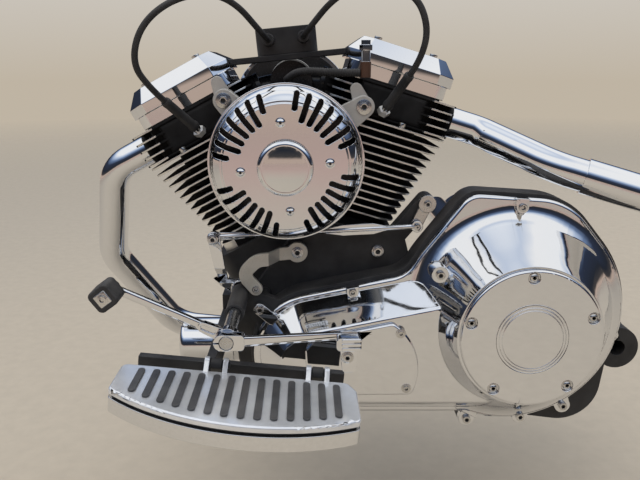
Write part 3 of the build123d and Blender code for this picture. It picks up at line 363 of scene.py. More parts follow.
def board_chrome():
    """Tread plating, dulled to a bright satin by boots."""
    return metal("board_chrome", (0.78, 0.80, 0.84), (0.90, 0.92, 0.95), (0.10, 0.20),
                 depth=0.05, dust=0.1, metallic=0.55)


def machined_edge():
    """Bright fin edges, cut after the paint went on."""
    return metal("machined_edge", (0.70, 0.69, 0.66), (0.88, 0.87, 0.84), (0.28, 0.45),
                 scale=1500.0, depth=0.15, dust=0.1)


def plated_steel():
    return metal("plated_steel", (0.52, 0.515, 0.50), (0.72, 0.715, 0.70), (0.16, 0.32))


def bright_nut():
    return metal("bright_nut", (0.62, 0.615, 0.60), (0.80, 0.795, 0.78), (0.30, 0.42),
                 dust=0.05, metallic=0.6)


def cast_aluminium():
    return metal("cast_aluminium", tone("aluminium", 0.80), tone("aluminium"), (0.40, 0.60),
                 scale=1100.0, depth=0.35, dust=0.35, metallic=0.55)


def silver_lacquer():
    """The smooth cream-silver of the curved stay."""
    return metal("silver_lacquer", (0.55, 0.52, 0.45), (0.66, 0.63, 0.56), (0.26, 0.38),
                 scale=1400.0, depth=0.08, dust=0.15, metallic=0.5)


def brown_polymer():
    return metal("brown_polymer", (0.06, 0.028, 0.018), (0.10, 0.05, 0.03), (0.25, 0.4),
                 dust=0.1, metallic=0.0)


def oxide_recess():
    """Painted shade: a near-black finish on the inside of a screw's driving recess, in place of the
    shade that falls there.
    """
    return metal("oxide_recess", (0.02, 0.02, 0.02), (0.05, 0.048, 0.045), (0.5, 0.7),
                 dust=0.0, metallic=0.3)


def gloss_black():
    return paint("gloss_black", tone("black_paint"), shine=0.16, scale=500.0, depth=0.05,
                 dust=0.05, coat=0.2, specular=0.35)


def fin_paint():
    """Thin satin black on the fins, nearly dull so that they stay dark edge on."""
    return paint("fin_paint", tone("black_paint", 0.7), shine=0.62, scale=700.0, depth=0.2,
                 dust=0.06, coat=0.0, specular=0.12)


def case_paint():
    """Black paint that dried in fine wrinkles."""
    return paint("case_paint", tone("black_paint", 1.3), shine=0.40, scale=900.0, depth=0.55,
                 dust=0.16, coat=0.1, specular=0.4)


def black_rubber():
    return paint("black_rubber", tone("rubber"), shine=0.48, scale=1300.0, depth=0.3,
                 dust=0.2, coat=0.0, specular=0.35)


def strip_rubber():
    """The smooth worn rubber of the footboard's strips."""
    return paint("strip_rubber", tone("rubber", 2.2), shine=0.26, scale=700.0, depth=0.12,
                 dust=0.15, coat=0.1)


def moulded_plastic():
    return paint("moulded_plastic", tone("black_paint"), shine=0.38, scale=1600.0, depth=0.25,
                 dust=0.2, coat=0.1)


FINISHES = {
    maker.__name__: maker
    for maker in (
        polished_chrome, cast_chrome, board_chrome, machined_edge, plated_steel, bright_nut,
        cast_aluminium, silver_lacquer, brown_polymer, oxide_recess, gloss_black, fin_paint,
        case_paint, black_rubber, strip_rubber, moulded_plastic,
    )
}


def finish(name):
    """A finish by name, built once."""
    return bpy.data.materials.get(name) or FINISHES[name]()


# Making and keeping pieces

# Degrees between two faces from which their shared edge counts as sharp
CAD_CREASE = 32.0
SCREW_CREASE = 40.0
PLUG_CREASE = 34.0
HOSE_CREASE = 60.0
# Turn between triangles up to which they belong to one flat face
FLAT = radians(0.05)
# Distance in metres outside a CAD piece from which a screw's seat on it is sought
SEEK_FROM = 0.4


def new_piece(name, data):
    piece = bpy.data.objects.new(name, data)
    bpy.context.scene.collection.objects.link(piece)
    return piece


def mesh_from(sheet, name, *finishes):
    """A mesh with its finishes from a sheet, which is freed."""
    mesh = bpy.data.meshes.new(name)
    sheet.to_mesh(mesh)
    sheet.free()
    for label in finishes:
        mesh.materials.append(finish(label))
    return mesh


def smooth(mesh, crease):
    mesh.polygons.foreach_set("use_smooth", [True] * len(mesh.polygons))
    mesh.set_sharp_from_angle(angle=radians(crease))


def settle(piece):
    """Applies a piece's modifiers, so that it is a plain mesh."""
    graph = bpy.context.evaluated_depsgraph_get()
    mesh = bpy.data.meshes.new_from_object(piece.evaluated_get(graph))
    old = piece.data
    piece.modifiers.clear()
    piece.data = mesh
    if old.users == 0:
        bpy.data.batch_remove([old])


def break_edges(piece, width, segments, crease):
    """A small bevel on a piece's sharp edges."""
    bevel = piece.modifiers.new("broken_edge", "BEVEL")
    bevel.width = width
    bevel.segments = segments
    bevel.limit_method = "ANGLE"
    bevel.angle_limit = radians(crease)
    return bevel


def joined_mesh(node, whole_faces=True):
    """A CAD piece's surface with its loose triangles joined and its flat faces made whole."""
    sheet = bmesh.new()
    sheet.from_mesh(frame["nodes"][node].data)
    bmesh.ops.remove_doubles(sheet, verts=sheet.verts, dist=1e-6)
    if whole_faces:
        bmesh.ops.dissolve_limit(sheet, angle_limit=FLAT, verts=sheet.verts, edges=sheet.edges)
    return sheet


def carry(piece, node):
    """Lets a piece ride on the body of a CAD node."""
    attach(piece, BODY_OF[node])


def keep(piece, node):
    """Puts a finished piece on its CAD node's body, in that node's place."""
    carry(piece, node)
    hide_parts(node)


def dress(node, *finishes, choose=None, edge=None, shape=None, weighted_edges=False):
    """A finished copy of a CAD piece, with broken edges and smooth curves.

    choose gives a face's finish number from its middle and its normal, and shape
    changes the copy's form before its edges are broken."""
    edge = bpy.context.scene.powertrain_finish.edge_break if edge is None else edge
    sheet = joined_mesh(node, whole_faces=edge > 0)
    if shape:
        shape(sheet)
    sheet.normal_update()
    for face in sheet.faces:
        face.material_index = choose(face.calc_center_median(), face.normal) if choose else 0
    mesh = mesh_from(sheet, node + "_finished", *finishes)
    if "custom_normal" in mesh.attributes:
        mesh.attributes.remove(mesh.attributes["custom_normal"])
    smooth(mesh, CAD_CREASE)
    piece = new_piece(node + "_finished", mesh)
    if edge:
        bevel = break_edges(piece, edge, 4 if weighted_edges else 2, CAD_CREASE)
        bevel.limit_method = "WEIGHT" if weighted_edges else "ANGLE"
        bevel.use_clamp_overlap = False
        weighted = piece.modifiers.new("smooth_faces", "WEIGHTED_NORMAL")
        weighted.mode = "FACE_AREA_WITH_ANGLE"
        weighted.weight = 80
        weighted.keep_sharp = False
    settle(piece)
    keep(piece, node)


def dress_all(finishes):
    """Dresses each CAD piece in the finish that it is listed under."""
    for label, nodes in finishes.items():
        for node in nodes:
            dress(node, label)


def seated(node, way, places):
    """Places in millimetres brought down onto a CAD piece, each with the way out of it."""
    sheet = bmesh.new()
    sheet.from_mesh(frame["nodes"][node].data)
    tree = BVHTree.FromBMesh(sheet)
    sheet.free()
    rows = []
    for place in places:
        hit = tree.ray_cast(at(*place) + way * SEEK_FROM, -way)[0]
        if hit is None:
            raise RuntimeError(f"no surface of {node} lies under {place}")
        rows.append((hit, way))
    return rows


# Geometry Nodes for screws and for the ribbed hose


def upward(tree, geometry, height):
    """Moves geometry up by a height."""
    rise = node_with(tree, "ShaderNodeCombineXYZ", {"Z": height}).outputs[0]
    moved = node_with(tree, "GeometryNodeTransform", {"Geometry": geometry, "Translation": rise})
    return moved.outputs["Geometry"]


def drum(tree, sides, radius, depth):
    """A cylinder about the origin."""
    links = {"Vertices": sides, "Radius": radius, "Depth": depth}
    return node_with(tree, "GeometryNodeMeshCylinder", links).outputs["Mesh"]


@built_once
def screw_rows(name):
    """Stands a screw with its flange and driving recess on every point, along the point's way."""
    tree, given, leave = new_group(name, "GeometryNodeTree", (
        ("Geometry", "Geometry", None),
        ("Head radius", "Float", 0.005),
        ("Head height", "Float", 0.004),
        ("Sides", "Int", 24),
        ("Domed", "Bool", False),
        ("Flange radius", "Float", 0.002),
        ("Flange height", "Float", 0.001),
        ("Recess radius", "Float", 0.0026),
        ("Recess depth", "Float", 0.002),
        ("Recess sides", "Int", 6),
        ("Metal", "Material", None),
        ("Recess metal", "Material", None),
    ), (("Geometry", "Geometry"),))
    radius, height = given["Head radius"], given["Head height"]
    half = math_node(tree, "MULTIPLY", height, 0.5)
    straight = upward(tree, drum(tree, given["Sides"], radius, height), half)
    ball = node_with(tree, "GeometryNodeMeshUVSphere", {"Segments": 20, "Rings": 12, "Radius": 1.0})
    size = node_with(tree, "ShaderNodeCombineXYZ", {"X": radius, "Y": radius, "Z": height})
    dome = node_with(tree, "GeometryNodeTransform", {
        "Geometry": ball.outputs["Mesh"], "Scale": size.outputs[0],
    })
    head = node_with(tree, "GeometryNodeSwitch", {
        "Switch": given["Domed"], "False": straight, "True": dome.outputs["Geometry"],
    }, input_type="GEOMETRY")
    deep = math_node(tree, "MULTIPLY", given["Recess depth"], 2.0)
    hollow = upward(tree, drum(tree, given["Recess sides"], given["Recess radius"], deep), height)
    # The recess walls take the recess finish, which is near black: painted shade in the socket
    hollow = node_with(tree, "GeometryNodeSetMaterial", {
        "Geometry": hollow, "Material": given["Recess metal"],
    })
    cut = node_with(tree, "GeometryNodeMeshBoolean", {
        "Mesh 1": head.outputs[0], "Mesh 2": hollow.outputs[0],
    }, operation="DIFFERENCE", solver="EXACT")
    half = math_node(tree, "MULTIPLY", given["Flange height"], 0.5)
    flange = upward(tree, drum(tree, 28, given["Flange radius"], given["Flange height"]), half)
    whole = tree.nodes.new("GeometryNodeJoinGeometry")
    tree.links.new(cut.outputs["Mesh"], whole.inputs[0])
    tree.links.new(flange, whole.inputs[0])
    way = node_with(tree, "GeometryNodeInputNamedAttribute", {"Name": "way"},
                    data_type="FLOAT_VECTOR").outputs[0]
    turn = node_with(tree, "FunctionNodeAlignRotationToVector", {"Vector": way}, axis="Z")
    rows = node_with(tree, "GeometryNodeInstanceOnPoints", {
        "Points": given["Geometry"], "Instance": whole.outputs[0], "Rotation": turn.outputs[0],
    })
    real = node_with(tree, "GeometryNodeRealizeInstances", {"Geometry": rows.outputs[0]})
    dark = node_with(tree, "GeometryNodeMaterialSelection", {"Material": given["Recess metal"]})
    light = node_with(tree, "FunctionNodeBooleanMath", {0: dark.outputs[0]}, operation="NOT")
    coated = node_with(tree, "GeometryNodeSetMaterial", {
        "Geometry": real.outputs[0], "Selection": light.outputs[0], "Material": given["Metal"],
    })
    tree.links.new(coated.outputs[0], leave[0])
    return tree


@built_once
def ribbed_hose(name):
    """Sweeps a round hose with ribs along a curve."""
    tree, given, leave = new_group(name, "GeometryNodeTree", (
        ("Geometry", "Geometry", None),
        ("Radius", "Float", 0.005),
        ("Rib height", "Float", 0.0005),
        ("Rib pitch", "Float", 0.003),
        ("Sides", "Int", 20),
        ("Material", "Material", None),
    ), (("Geometry", "Geometry"),))
    fine = math_node(tree, "DIVIDE", given["Rib pitch"], 6.0)
    line = node_with(tree, "GeometryNodeResampleCurve", {
        "Curve": given["Geometry"], "Length": fine,
    }, mode="LENGTH")
    along = tree.nodes.new("GeometryNodeSplineParameter").outputs["Length"]
    turns = math_node(tree, "DIVIDE", along, given["Rib pitch"])
    wave = math_node(tree, "SINE", math_node(tree, "MULTIPLY", turns, 2 * pi))
    rise = math_node(tree, "MULTIPLY", wave, given["Rib height"])
    girth = math_node(tree, "ADD", rise, given["Radius"])
    ring = node_with(tree, "GeometryNodeCurvePrimitiveCircle", {
        "Resolution": given["Sides"], "Radius": 1.0,
    }, mode="RADIUS")
    tube = node_with(tree, "GeometryNodeCurveToMesh", {
        "Curve": line.outputs[0], "Profile Curve": ring.outputs[0], "Scale": girth,
        "Fill Caps": True,
    })
    real = node_with(tree, "GeometryNodeRealizeInstances", {"Geometry": tube.outputs[0]})
    coated = node_with(tree, "GeometryNodeSetMaterial", {
        "Geometry": real.outputs[0], "Material": given["Material"],
    })
    tree.links.new(coated.outputs[0], leave[0])
    return tree


def run_tree(holder, tree, values):
    """The mesh that a geometry tree makes of an object, with the inputs given by name."""
    modifier = holder.modifiers.new(tree.name, "NODES")
    modifier.node_group = tree
    for item in tree.interface.items_tree:
        if item.in_out == "INPUT" and item.name in values:
            modifier[item.identifier] = values[item.name]
    graph = bpy.context.evaluated_depsgraph_get()
    mesh = bpy.data.meshes.new_from_object(holder.evaluated_get(graph))
    bpy.data.objects.remove(holder)
    return mesh


def screws(name, node, rows, head, recess=(2.6, 2.4), flange=None, metal="plated_steel",
           sides=24, recess_sides=6, domed=False, round_off=0.35):
    """Screws on a CAD piece, given as places with their directions.

    Head, recess and flange are each a radius and a height or depth in millimetres."""
    flange = flange or (head[0] * 0.6, 1.2)
    mesh = bpy.data.meshes.new(name)
    mesh.from_pydata([place for place, way in rows], [], [])
    ways = mesh.attributes.new("way", "FLOAT_VECTOR", "POINT")
    for item, (place, way) in zip(ways.data, rows):
        item.vector = way
    piece = new_piece(name, run_tree(new_piece(name + "_points", mesh), screw_rows(), {
        "Head radius": head[0] * MM,
        "Head height": head[1] * MM,
        "Sides": sides,
        "Domed": domed,
        "Flange radius": flange[0] * MM,
        "Flange height": flange[1] * MM,
        "Recess radius": recess[0] * MM,
        "Recess depth": recess[1] * MM,
        "Recess sides": recess_sides,
        "Metal": finish(metal),
        # The recess finish is near black, as painted shade inside each screw's socket
        "Recess metal": finish("oxide_recess"),
    }))
    if round_off:
        break_edges(piece, round_off * MM, 2, SCREW_CREASE)
        settle(piece)
    smooth(piece.data, SCREW_CREASE)
    carry(piece, node)


def screws_on(name, node, way, places, *sizes, **more):
    """Screws that stand on a CAD piece at places in millimetres, along one direction."""
    screws(name, node, seated(node, way, places), *sizes, **more)


def route_line(name, points):
    """A smooth curve whose control points are the route's, in millimetres."""
    data = bpy.data.curves.new(name, "CURVE")
    data.dimensions = "3D"
    data.resolution_u = 16
    spline = data.splines.new("NURBS")
    spline.points.add(len(points) - 1)
    for point, place in zip(spline.points, points):
        point.co = (*at(*place), 1.0)
    spline.order_u = 3
    spline.use_endpoint_u = True
    return new_piece(name, data)


def hose(name, node, points, radius, rib=0.0, pitch=3.0):
    """A held hose or lead along its route, in place of its CAD piece."""
    made = run_tree(route_line(name + "_line", points), ribbed_hose(), {
        "Radius": radius * MM,
        "Rib height": rib * MM,
        "Rib pitch": pitch * MM,
        "Sides": 20,
        "Material": finish("black_rubber"),
    })
    smooth(made, HOSE_CREASE)
    keep(new_piece(name, made), node)


# Operators, one for each group of pieces

FLOOR_HALF = 30.0
# Distances in metres between which the floor takes a warmer tone, and fades out
WARM_FROM, WARM_TO = -4.2, -2.2
FADE_FROM, FADE_TO = 2.5, 9.0
WARM_FLOOR = (0.66, 0.45, 0.375)
# Height of the look direction, and the colour that plating mirrors from there
MIRRORED = (
    (-1.0, (0.34, 0.29, 0.235)),
    (-0.03, (0.52, 0.40, 0.33)),
    (0.0, (0.06, 0.055, 0.055)),
    (0.08, (0.022, 0.026, 0.036)),
    (0.28, (0.03, 0.04, 0.07)),
    (0.42, (0.16, 0.23, 0.38)),
    (0.52, (0.50, 0.60, 0.78)),
    (0.62, (0.98, 0.99, 1.0)),
    (0.88, (1.0, 1.0, 1.0)),
    (0.95, (0.62, 0.70, 0.84)),
    (1.0, (0.90, 0.94, 1.0)),
)
# Name, place, aim and size in metres, and share of the key lamp's power
LAMPS = (
    ("key_lamp", (-1.2, -1.7, 3.0), (-0.45, -0.1, 0.1), 3.6, 1.0),
    ("rear_lamp", (1.6, 2.4, 2.6), (-0.3, 0.0, 0.1), 2.8, 0.5),
)
LAMP_COLOUR = (1.0, 0.94, 0.85)


class POWERTRAIN_OT_stage(bpy.types.Operator):
    """Makes the floor, the surround, the lamps and the camera"""

    bl_idname = "powertrain.stage"
    bl_label = "Stage"

    def execute(self, context):
        settings = context.scene.powertrain_stage
        self.floor(settings)
        self.surround(context, settings)
        self.lamps(settings)
        self.camera(context, settings)
        context.scene.view_settings.view_transform = "Standard"
        return {"FINISHED"}

    def floor(self, settings):
        height = CRANK.z - settings.floor_drop
        corners = [(sx * FLOOR_HALF, sy * FLOOR_HALF, height) for sx, sy in SQUARE]
        mesh = bpy.data.meshes.new("floor")
        mesh.from_pydata(corners, [], [(0, 1, 2, 3)])
        floor = new_piece("floor", mesh)
        material, tree, shader = new_finish("pale_floor", 0.0, specular=0.3)
        grain = placed(tree, surface_grain(), scale=60.0)
        darker = [0.93 * c for c in settings.floor_colour]
        colour = mix_colours(tree, grain["Value"], darker, settings.floor_colour)
        parts = node_with(tree, "ShaderNodeSeparateXYZ", {0: object_place(tree)})
        front = spread(tree, parts.outputs["Y"], WARM_FROM, WARM_TO, 1.0, 0.0)
        colour = mix_colours(tree, front, colour, WARM_FLOOR)
        tree.links.new(colour, shader.inputs["Base Color"])
        rough = spread(tree, grain["Height"], 0.3, 0.7, 0.6, 0.75)
        tree.links.new(rough, shader.inputs["Roughness"])
        self.fade_far(tree, shader)
        mesh.materials.append(material)

    def fade_far(self, tree, shader):
        """Lets the far floor melt into the surround, so that no edge shows."""
        span = node_with(tree, "ShaderNodeVectorMath", {0: object_place(tree)}, operation="LENGTH")
        far = spread(tree, span.outputs["Value"], FADE_FROM, FADE_TO)
        clear = tree.nodes.new("ShaderNodeBsdfTransparent").outputs[0]
        blend = node_with(tree, "ShaderNodeMixShader", {0: far, 1: shader.outputs[0], 2: clear})
        tree.links.new(blend.outputs[0], tree.nodes["Material Output"].inputs["Surface"])

    def surround(self, context, settings):
        world = bpy.data.worlds.new("surround")
        context.scene.world = world
        world.use_nodes = True
        tree = world.node_tree
        look = tree.nodes.new("ShaderNodeTexCoord").outputs["Generated"]
        parts = node_with(tree, "ShaderNodeSeparateXYZ", {0: look})
        height = spread(tree, parts.outputs["Z"], -1.0, 1.0)
        ramp = node_with(tree, "ShaderNodeValToRGB", {"Fac": height})
        stops = ramp.color_ramp.elements
        while len(stops) > 1:
            stops.remove(stops[-1])
        stops[0].position = 0.0
        stops[0].color = (*MIRRORED[0][1], 1.0)
        for rise, colour in MIRRORED[1:]:
            stops.new(0.5 * rise + 0.5).color = (*colour, 1.0)
        seen = tree.nodes.new("ShaderNodeLightPath").outputs["Is Camera Ray"]
        low = [0.98 * c for c in settings.floor_colour]
        rising = spread(tree, parts.outputs["Z"], -0.02, 0.22)
        behind = mix_colours(tree, rising, low, settings.sky_colour)
        colour = mix_colours(tree, seen, ramp.outputs["Color"], behind)
        background = tree.nodes["Background"]
        tree.links.new(colour, background.inputs["Color"])
        background.inputs["Strength"].default_value = 1.0

    def lamps(self, settings):
        for name, place, aim, size, share in LAMPS:
            lamp = bpy.data.lights.new(name, "AREA")
            lamp.shape = "DISK"
            lamp.size = size
            lamp.energy = settings.key_power * share
            lamp.color = LAMP_COLOUR
            holder = new_piece(name, lamp)
            holder.location = place
            look = Vector(aim) - Vector(place)
            holder.rotation_euler = look.to_track_quat("-Z", "Y").to_euler()
            # Plating mirrors the surround's soft white in the lamp's place
            holder.visible_glossy = False

    def camera(self, context, settings):
        lens = bpy.data.cameras.new("camera")
        lens.lens = settings.focal_length
        lens.sensor_width = 36.0
        holder = new_piece("camera", lens)
        holder.location = settings.camera_place
        turn = Matrix.Rotation(-settings.camera_yaw, 4, "Z")
        tilt = Matrix.Rotation(pi / 2 - settings.camera_pitch, 4, "X")
        holder.rotation_euler = (turn @ tilt).to_euler()
        context.scene.camera = holder


# Radius in metres past which a barrel's upright faces are cut rims
CORE_RADIUS = 0.066
# Half widths in metres past which a head's upright faces are cut rims, and their highest place
HEAD_CORE_X, HEAD_CORE_Y, HEAD_RIM_TOP = 0.052, 0.076, 0.369
# Share of a normal along the cylinder below which a face stands upright
RIM_FACING = 0.4
FIN_EDGE = 0.0003


class POWERTRAIN_OT_cylinders(bpy.types.Operator):
    """Makes the finned barrels and heads, satin black with bright rims cut on the fins"""

    bl_idname = "powertrain.cylinders"
    bl_label = "Cylinders"

    def execute(self, context):
        for end in ENDS:
            upright = leaning(end).transposed()

            def cut_barrel(middle, normal, upright=upright):
                place = upright @ (middle - CRANK)
                facing = upright @ normal
                return 1 if abs(facing.z) < RIM_FACING and place.xy.length > CORE_RADIUS else 0

            def cut_head(middle, normal, upright=upright):
                place = upright @ (middle - CRANK)
                outer = abs(place.x) > HEAD_CORE_X and abs(place.y) > HEAD_CORE_Y
                facing = upright @ normal
                return 1 if outer and place.z < HEAD_RIM_TOP and abs(facing.z) < RIM_FACING else 0

            dress(end + "_cylinder", "fin_paint", "machined_edge", choose=cut_barrel, edge=FIN_EDGE)
            dress(end + "_head", "fin_paint", "machined_edge", choose=cut_head, edge=FIN_EDGE)
        return {"FINISHED"}


class POWERTRAIN_OT_castings(bpy.types.Operator):
    """Makes the painted and bare castings behind the covers"""

    bl_idname = "powertrain.castings"
    bl_label = "Castings"

    finishes = {
        "case_paint": (
            "crankcase", "inner_primary", "gearbox_case", "oil_pan", "front_engine_mount",
            "top_mount_bracket", "footboard_support",
        ),
        "gloss_black": ("intake_manifold", "air_cleaner_base", "cover_back"),
        "cast_aluminium": ("throttle_body", "cover_bracket"),
        "plated_steel": ("gearbox_shift_lever", "final_drive_pulley"),
        "silver_lacquer": ("curved_stay",),
    }

    def execute(self, context):
        dress_all(self.finishes)
        return {"FINISHED"}


class POWERTRAIN_OT_chrome_covers(bpy.types.Operator):
    """Makes the plated covers of the engine, the primary drive and the gearbox"""

    bl_idname = "powertrain.chrome_covers"
    bl_label = "Chrome covers"

    finishes = {
        "cast_chrome": (
            "outer_primary", "inspection_cover", "cam_cover", "gearbox_top_cover",
            "gearbox_side_cover",
        ),
        "polished_chrome": (
            "clutch_cover", "front_rocker_box", "rear_rocker_box", "pushrod_tubes", "tappet_blocks",
            "starter_motor", "air_cleaner_cover", "oil_filter", "hub_cap", "slotted_cover",
        ),
    }

    def execute(self, context):
        dress_all(self.finishes)
        return {"FINISHED"}


# Width of the levers' rounding, the length from which an edge gets all of it, and the others' share
LEVER_EDGE, LONG_EDGE, SHORT_SHARE = 0.003, 0.045, 0.15
# The toe peg's outer end, its turn, and its end plate's half width, depth and edge
PEG_END = (-230.0, -320.0, 141.0)
PEG_TURN = -36.0
PLATE_HALF = 7.4
PLATE_DEPTHS = (1.0, -0.8)
PLATE_EDGE = 0.0012


def mark_long_edges(sheet):
    """Gives long sharp edges a full rounding and the others a light one."""
    layer = sheet.edges.layers.float.new("bevel_weight_edge")
    for edge in sheet.edges:
        if edge.is_manifold and edge.calc_face_angle() > radians(CAD_CREASE):
            edge[layer] = 1.0 if edge.calc_length() > LONG_EDGE else SHORT_SHARE


class POWERTRAIN_OT_foot_controls(bpy.types.Operator):
    """Makes the shift levers, their shaft and rod, and the toe peg with its end plate"""

    bl_idname = "powertrain.foot_controls"
    bl_label = "Foot controls"

    def execute(self, context):
        for node in ("toe_lever", "heel_lever"):
            dress(node, "polished_chrome", edge=LEVER_EDGE, weighted_edges=True,
                  shape=mark_long_edges)
        for node in ("shift_rod", "shift_arm"):
            dress(node, "polished_chrome")
        dress("shift_shaft", "plated_steel")
        dress("toe_peg", "black_rubber", edge=0.0022)
        self.end_plate()
        return {"FINISHED"}

    def end_plate(self):
        """A bright square plate that the peg's screw holds on its end."""
        x, y, z = PEG_END
        turn = Matrix.Rotation(radians(PEG_TURN), 3, "Y")
        sheet = bmesh.new()
        rings = []
        for depth in PLATE_DEPTHS:
            spots = [turn @ Vector((sx * PLATE_HALF, 0.0, sz * PLATE_HALF)) for sx, sz in SQUARE]
            rings.append([sheet.verts.new(at(x + spot.x, y + depth, z + spot.z)) for spot in spots])
        inner, outer = rings
        for start in range(4):
            after = (start + 1) % 4
            sheet.faces.new((inner[start], inner[after], outer[after], outer[start]))
        sheet.faces.new(outer)
        sheet.faces.new(list(reversed(inner)))
        bmesh.ops.recalc_face_normals(sheet, faces=sheet.faces)
        piece = new_piece("peg_end_plate", mesh_from(sheet, "peg_end_plate", "plated_steel"))
        break_edges(piece, PLATE_EDGE, 3, SCREW_CREASE)
        settle(piece)
        smooth(piece.data, SCREW_CREASE)
        carry(piece, "toe_peg")


class POWERTRAIN_OT_footboard(bpy.types.Operator):
    """Makes the footboard with its rubber strips"""

    bl_idname = "powertrain.footboard"
    bl_label = "Footboard"

    strip_end = 0.0038
    strip_edge = 0.0006

    def execute(self, context):
        dress("footboard_plate", "board_chrome")
        dress("footboard_pan", "polished_chrome")
        dress("footboard_isolator", "black_rubber")
        dress("footboard_pads", "strip_rubber", edge=self.strip_edge, shape=self.round_ends)
        return {"FINISHED"}

    def round_ends(self, sheet):
        """Rounds the upright corners of each strip into round ends."""
        upright = [
            edge for edge in sheet.edges
            if abs((edge.verts[0].co - edge.verts[1].co).normalized().z) > 0.9
            and edge.is_manifold and edge.calc_face_angle() > radians(60)
        ]
        bmesh.ops.bevel(sheet, geom=upright, offset=self.strip_end, segments=6, affect="EDGES",
                        profile=0.5, clamp_overlap=True)


class POWERTRAIN_OT_exhaust(bpy.types.Operator):
    """Makes the header pipes and the heat shield"""

    bl_idname = "powertrain.exhaust"
    bl_label = "Exhaust"

    def execute(self, context):
        for node in ("front_header", "rear_header", "heat_shield"):
            dress(node, "polished_chrome", edge=0.0)
        return {"FINISHED"}


# Seats, leans and lengths of the plugs, and route points of the held leads and the fuel hose
LEAD_RADIUS = 4.0
HOSE_RADIUS = 5.1
PLUG_SEAT = {"front": (4.0, -74.0, 324.0), "rear": (-10.0, -74.0, 324.0)}
PLUG_LEAN = {"front": (-0.17, -0.62, 0.76), "rear": (0.17, -0.62, 0.76)}
PLUG_RISE = 2.0
PLUG_LENGTH = 84.0
# Distance along the plug and radius there
PLUG_NUT = ((7.0, 0.0), (7.0, 7.6), (7.8, 8.6), (14.6, 8.6), (15.2, 0.0))
PLUG_SHELL = ((13.0, 0.0), (13.0, 5.6), (19.0, 5.6), (19.6, 6.2), (22.0, 6.2), (22.0, 0.0))
PLUG_BOOT = (
    (21.0, 0.0), (21.0, 7.2), (24.0, 7.6), (27.0, 7.2), (29.0, 6.4), (74.0, 6.1), (76.0, 6.5),
    (80.0, 6.5), (82.0, 5.6), (82.0, 0.0),
)
LEAD_STRAIGHT = 26.0
LEAD_TURNS = {
    "front": ((-222, -160, 384), (-206, -168, 430), (-162, -156, 462), (-108, -128, 466)),
    "rear": ((134, -158, 424), (118, -160, 462), (78, -146, 478), (28, -120, 470)),
}
COIL_TOWER = {"front": (-24.0, -50.0), "rear": (24.0, -50.0)}
COIL_LEAN = -5.5
COIL_RISE = 418.9
HOSE_ROUTE = (
    (57, -97, 372),
    (23, -97, 372),
    (-21.9, -87, 375),
    (-39.9, -49, 362.3),
    (-39.9, -11, 362.3),
)


def plug_line(end):
    """Where a plug stands and which way it points, in millimetres from the crankshaft."""
    turn = leaning(end)
    return turn @ Vector(PLUG_SEAT[end]), turn @ Vector(PLUG_LEAN[end]).normalized()


def turned_along(sheet, seat, way, profile, sides, number):
    """Adds a closed turned shape along a line, from its distances and radii in millimetres."""
    across = way.orthogonal().normalized()
    third = way.cross(across)
    turns = [2 * pi * step / sides for step in range(sides)]
    rings = []
    for distance, radius in profile:
        middle = seat + way * distance
        spots = [(across * cos(turn) + third * sin(turn)) * radius for turn in turns]
        if radius == 0.0:
            spots = spots[:1]
        rings.append([sheet.verts.new(at(*(middle + spot))) for spot in spots])
    made = []
    for low, high in zip(rings, rings[1:]):
        for step in range(sides):
            after = (step + 1) % sides
            loop = [
                low[step % len(low)], low[after % len(low)],
                high[after % len(high)], high[step % len(high)],
            ]
            loop = list(dict.fromkeys(loop))
            if len(loop) > 2:
                made.append(sheet.faces.new(loop))
    bmesh.ops.recalc_face_normals(sheet, faces=made)
    for face in made:
        face.material_index = number


class POWERTRAIN_OT_electrics(bpy.types.Operator):
    """Makes the spark plugs with their boots, their leads and the ignition coil"""

    bl_idname = "powertrain.electrics"
    bl_label = "Electrics"

    def execute(self, context):
        self.plugs()
        for end in ENDS:
            hose(end + "_lead", end + "_plug_lead", self.lead_route(end), LEAD_RADIUS)
        dress("ignition_coil", "moulded_plastic")
        return {"FINISHED"}

    def plugs(self):
        """Each plug's nut and shell, and the rubber boot with its two beads."""
        sheet = bmesh.new()
        for end in ENDS:
            seat, way = plug_line(end)
            stages = ((PLUG_NUT, 6), (PLUG_SHELL, 24), (PLUG_BOOT, 24))
            for number, (profile, sides) in enumerate(stages):
                turned_along(sheet, seat + way * PLUG_RISE, way, profile, sides, number)
        mesh = mesh_from(sheet, "plugs_and_boots", "bright_nut", "polished_chrome", "black_rubber")
        smooth(mesh, PLUG_CREASE)
        keep(new_piece("plugs_and_boots", mesh), "spark_plugs")

    def lead_route(self, end):
        seat, way = plug_line(end)
        tip = seat + way * PLUG_LENGTH
        tower = Matrix.Rotation(radians(COIL_LEAN), 3, "Y") @ Vector((*COIL_TOWER[end], COIL_RISE))
        out = tower + LEFT * LEAD_STRAIGHT
        return tip, tip + way * LEAD_STRAIGHT, *LEAD_TURNS[end], out, tower


class POWERTRAIN_OT_fuel_line(bpy.types.Operator):
    """Makes the fuel coupling and the ribbed hose above the round cover"""

    bl_idname = "powertrain.fuel_line"
    bl_label = "Fuel line"

    joint_height = 386.0
    fitting_edge = 0.0004

    def execute(self, context):
        def upper_or_lower(middle, normal):
            return 0 if (middle.z - CRANK.z) / MM < self.joint_height else 1

        dress("fuel_fitting", "brown_polymer", "polished_chrome", choose=upper_or_lower,
              edge=self.fitting_edge)
        hose("fuel_hose_ribbed", "fuel_hose", HOSE_ROUTE, HOSE_RADIUS, rib=0.4, pitch=3.2)
        return {"FINISHED"}


def ring_of(count, centre, radius, start=0.0):
    """Places round a circle that faces left, with a start angle in degrees."""
    x, z = centre
    turns = [radians(start + 360.0 * step / count) for step in range(count)]
    return [(x + radius * cos(turn), 0.0, z + radius * sin(turn)) for turn in turns]


def middle_of(node):
    """The middle of a CAD piece's side, in millimetres."""
    low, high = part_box(node)
    spot = (0.5 * (Vector(low) + Vector(high)) - CRANK) / MM
    return spot.x, spot.z


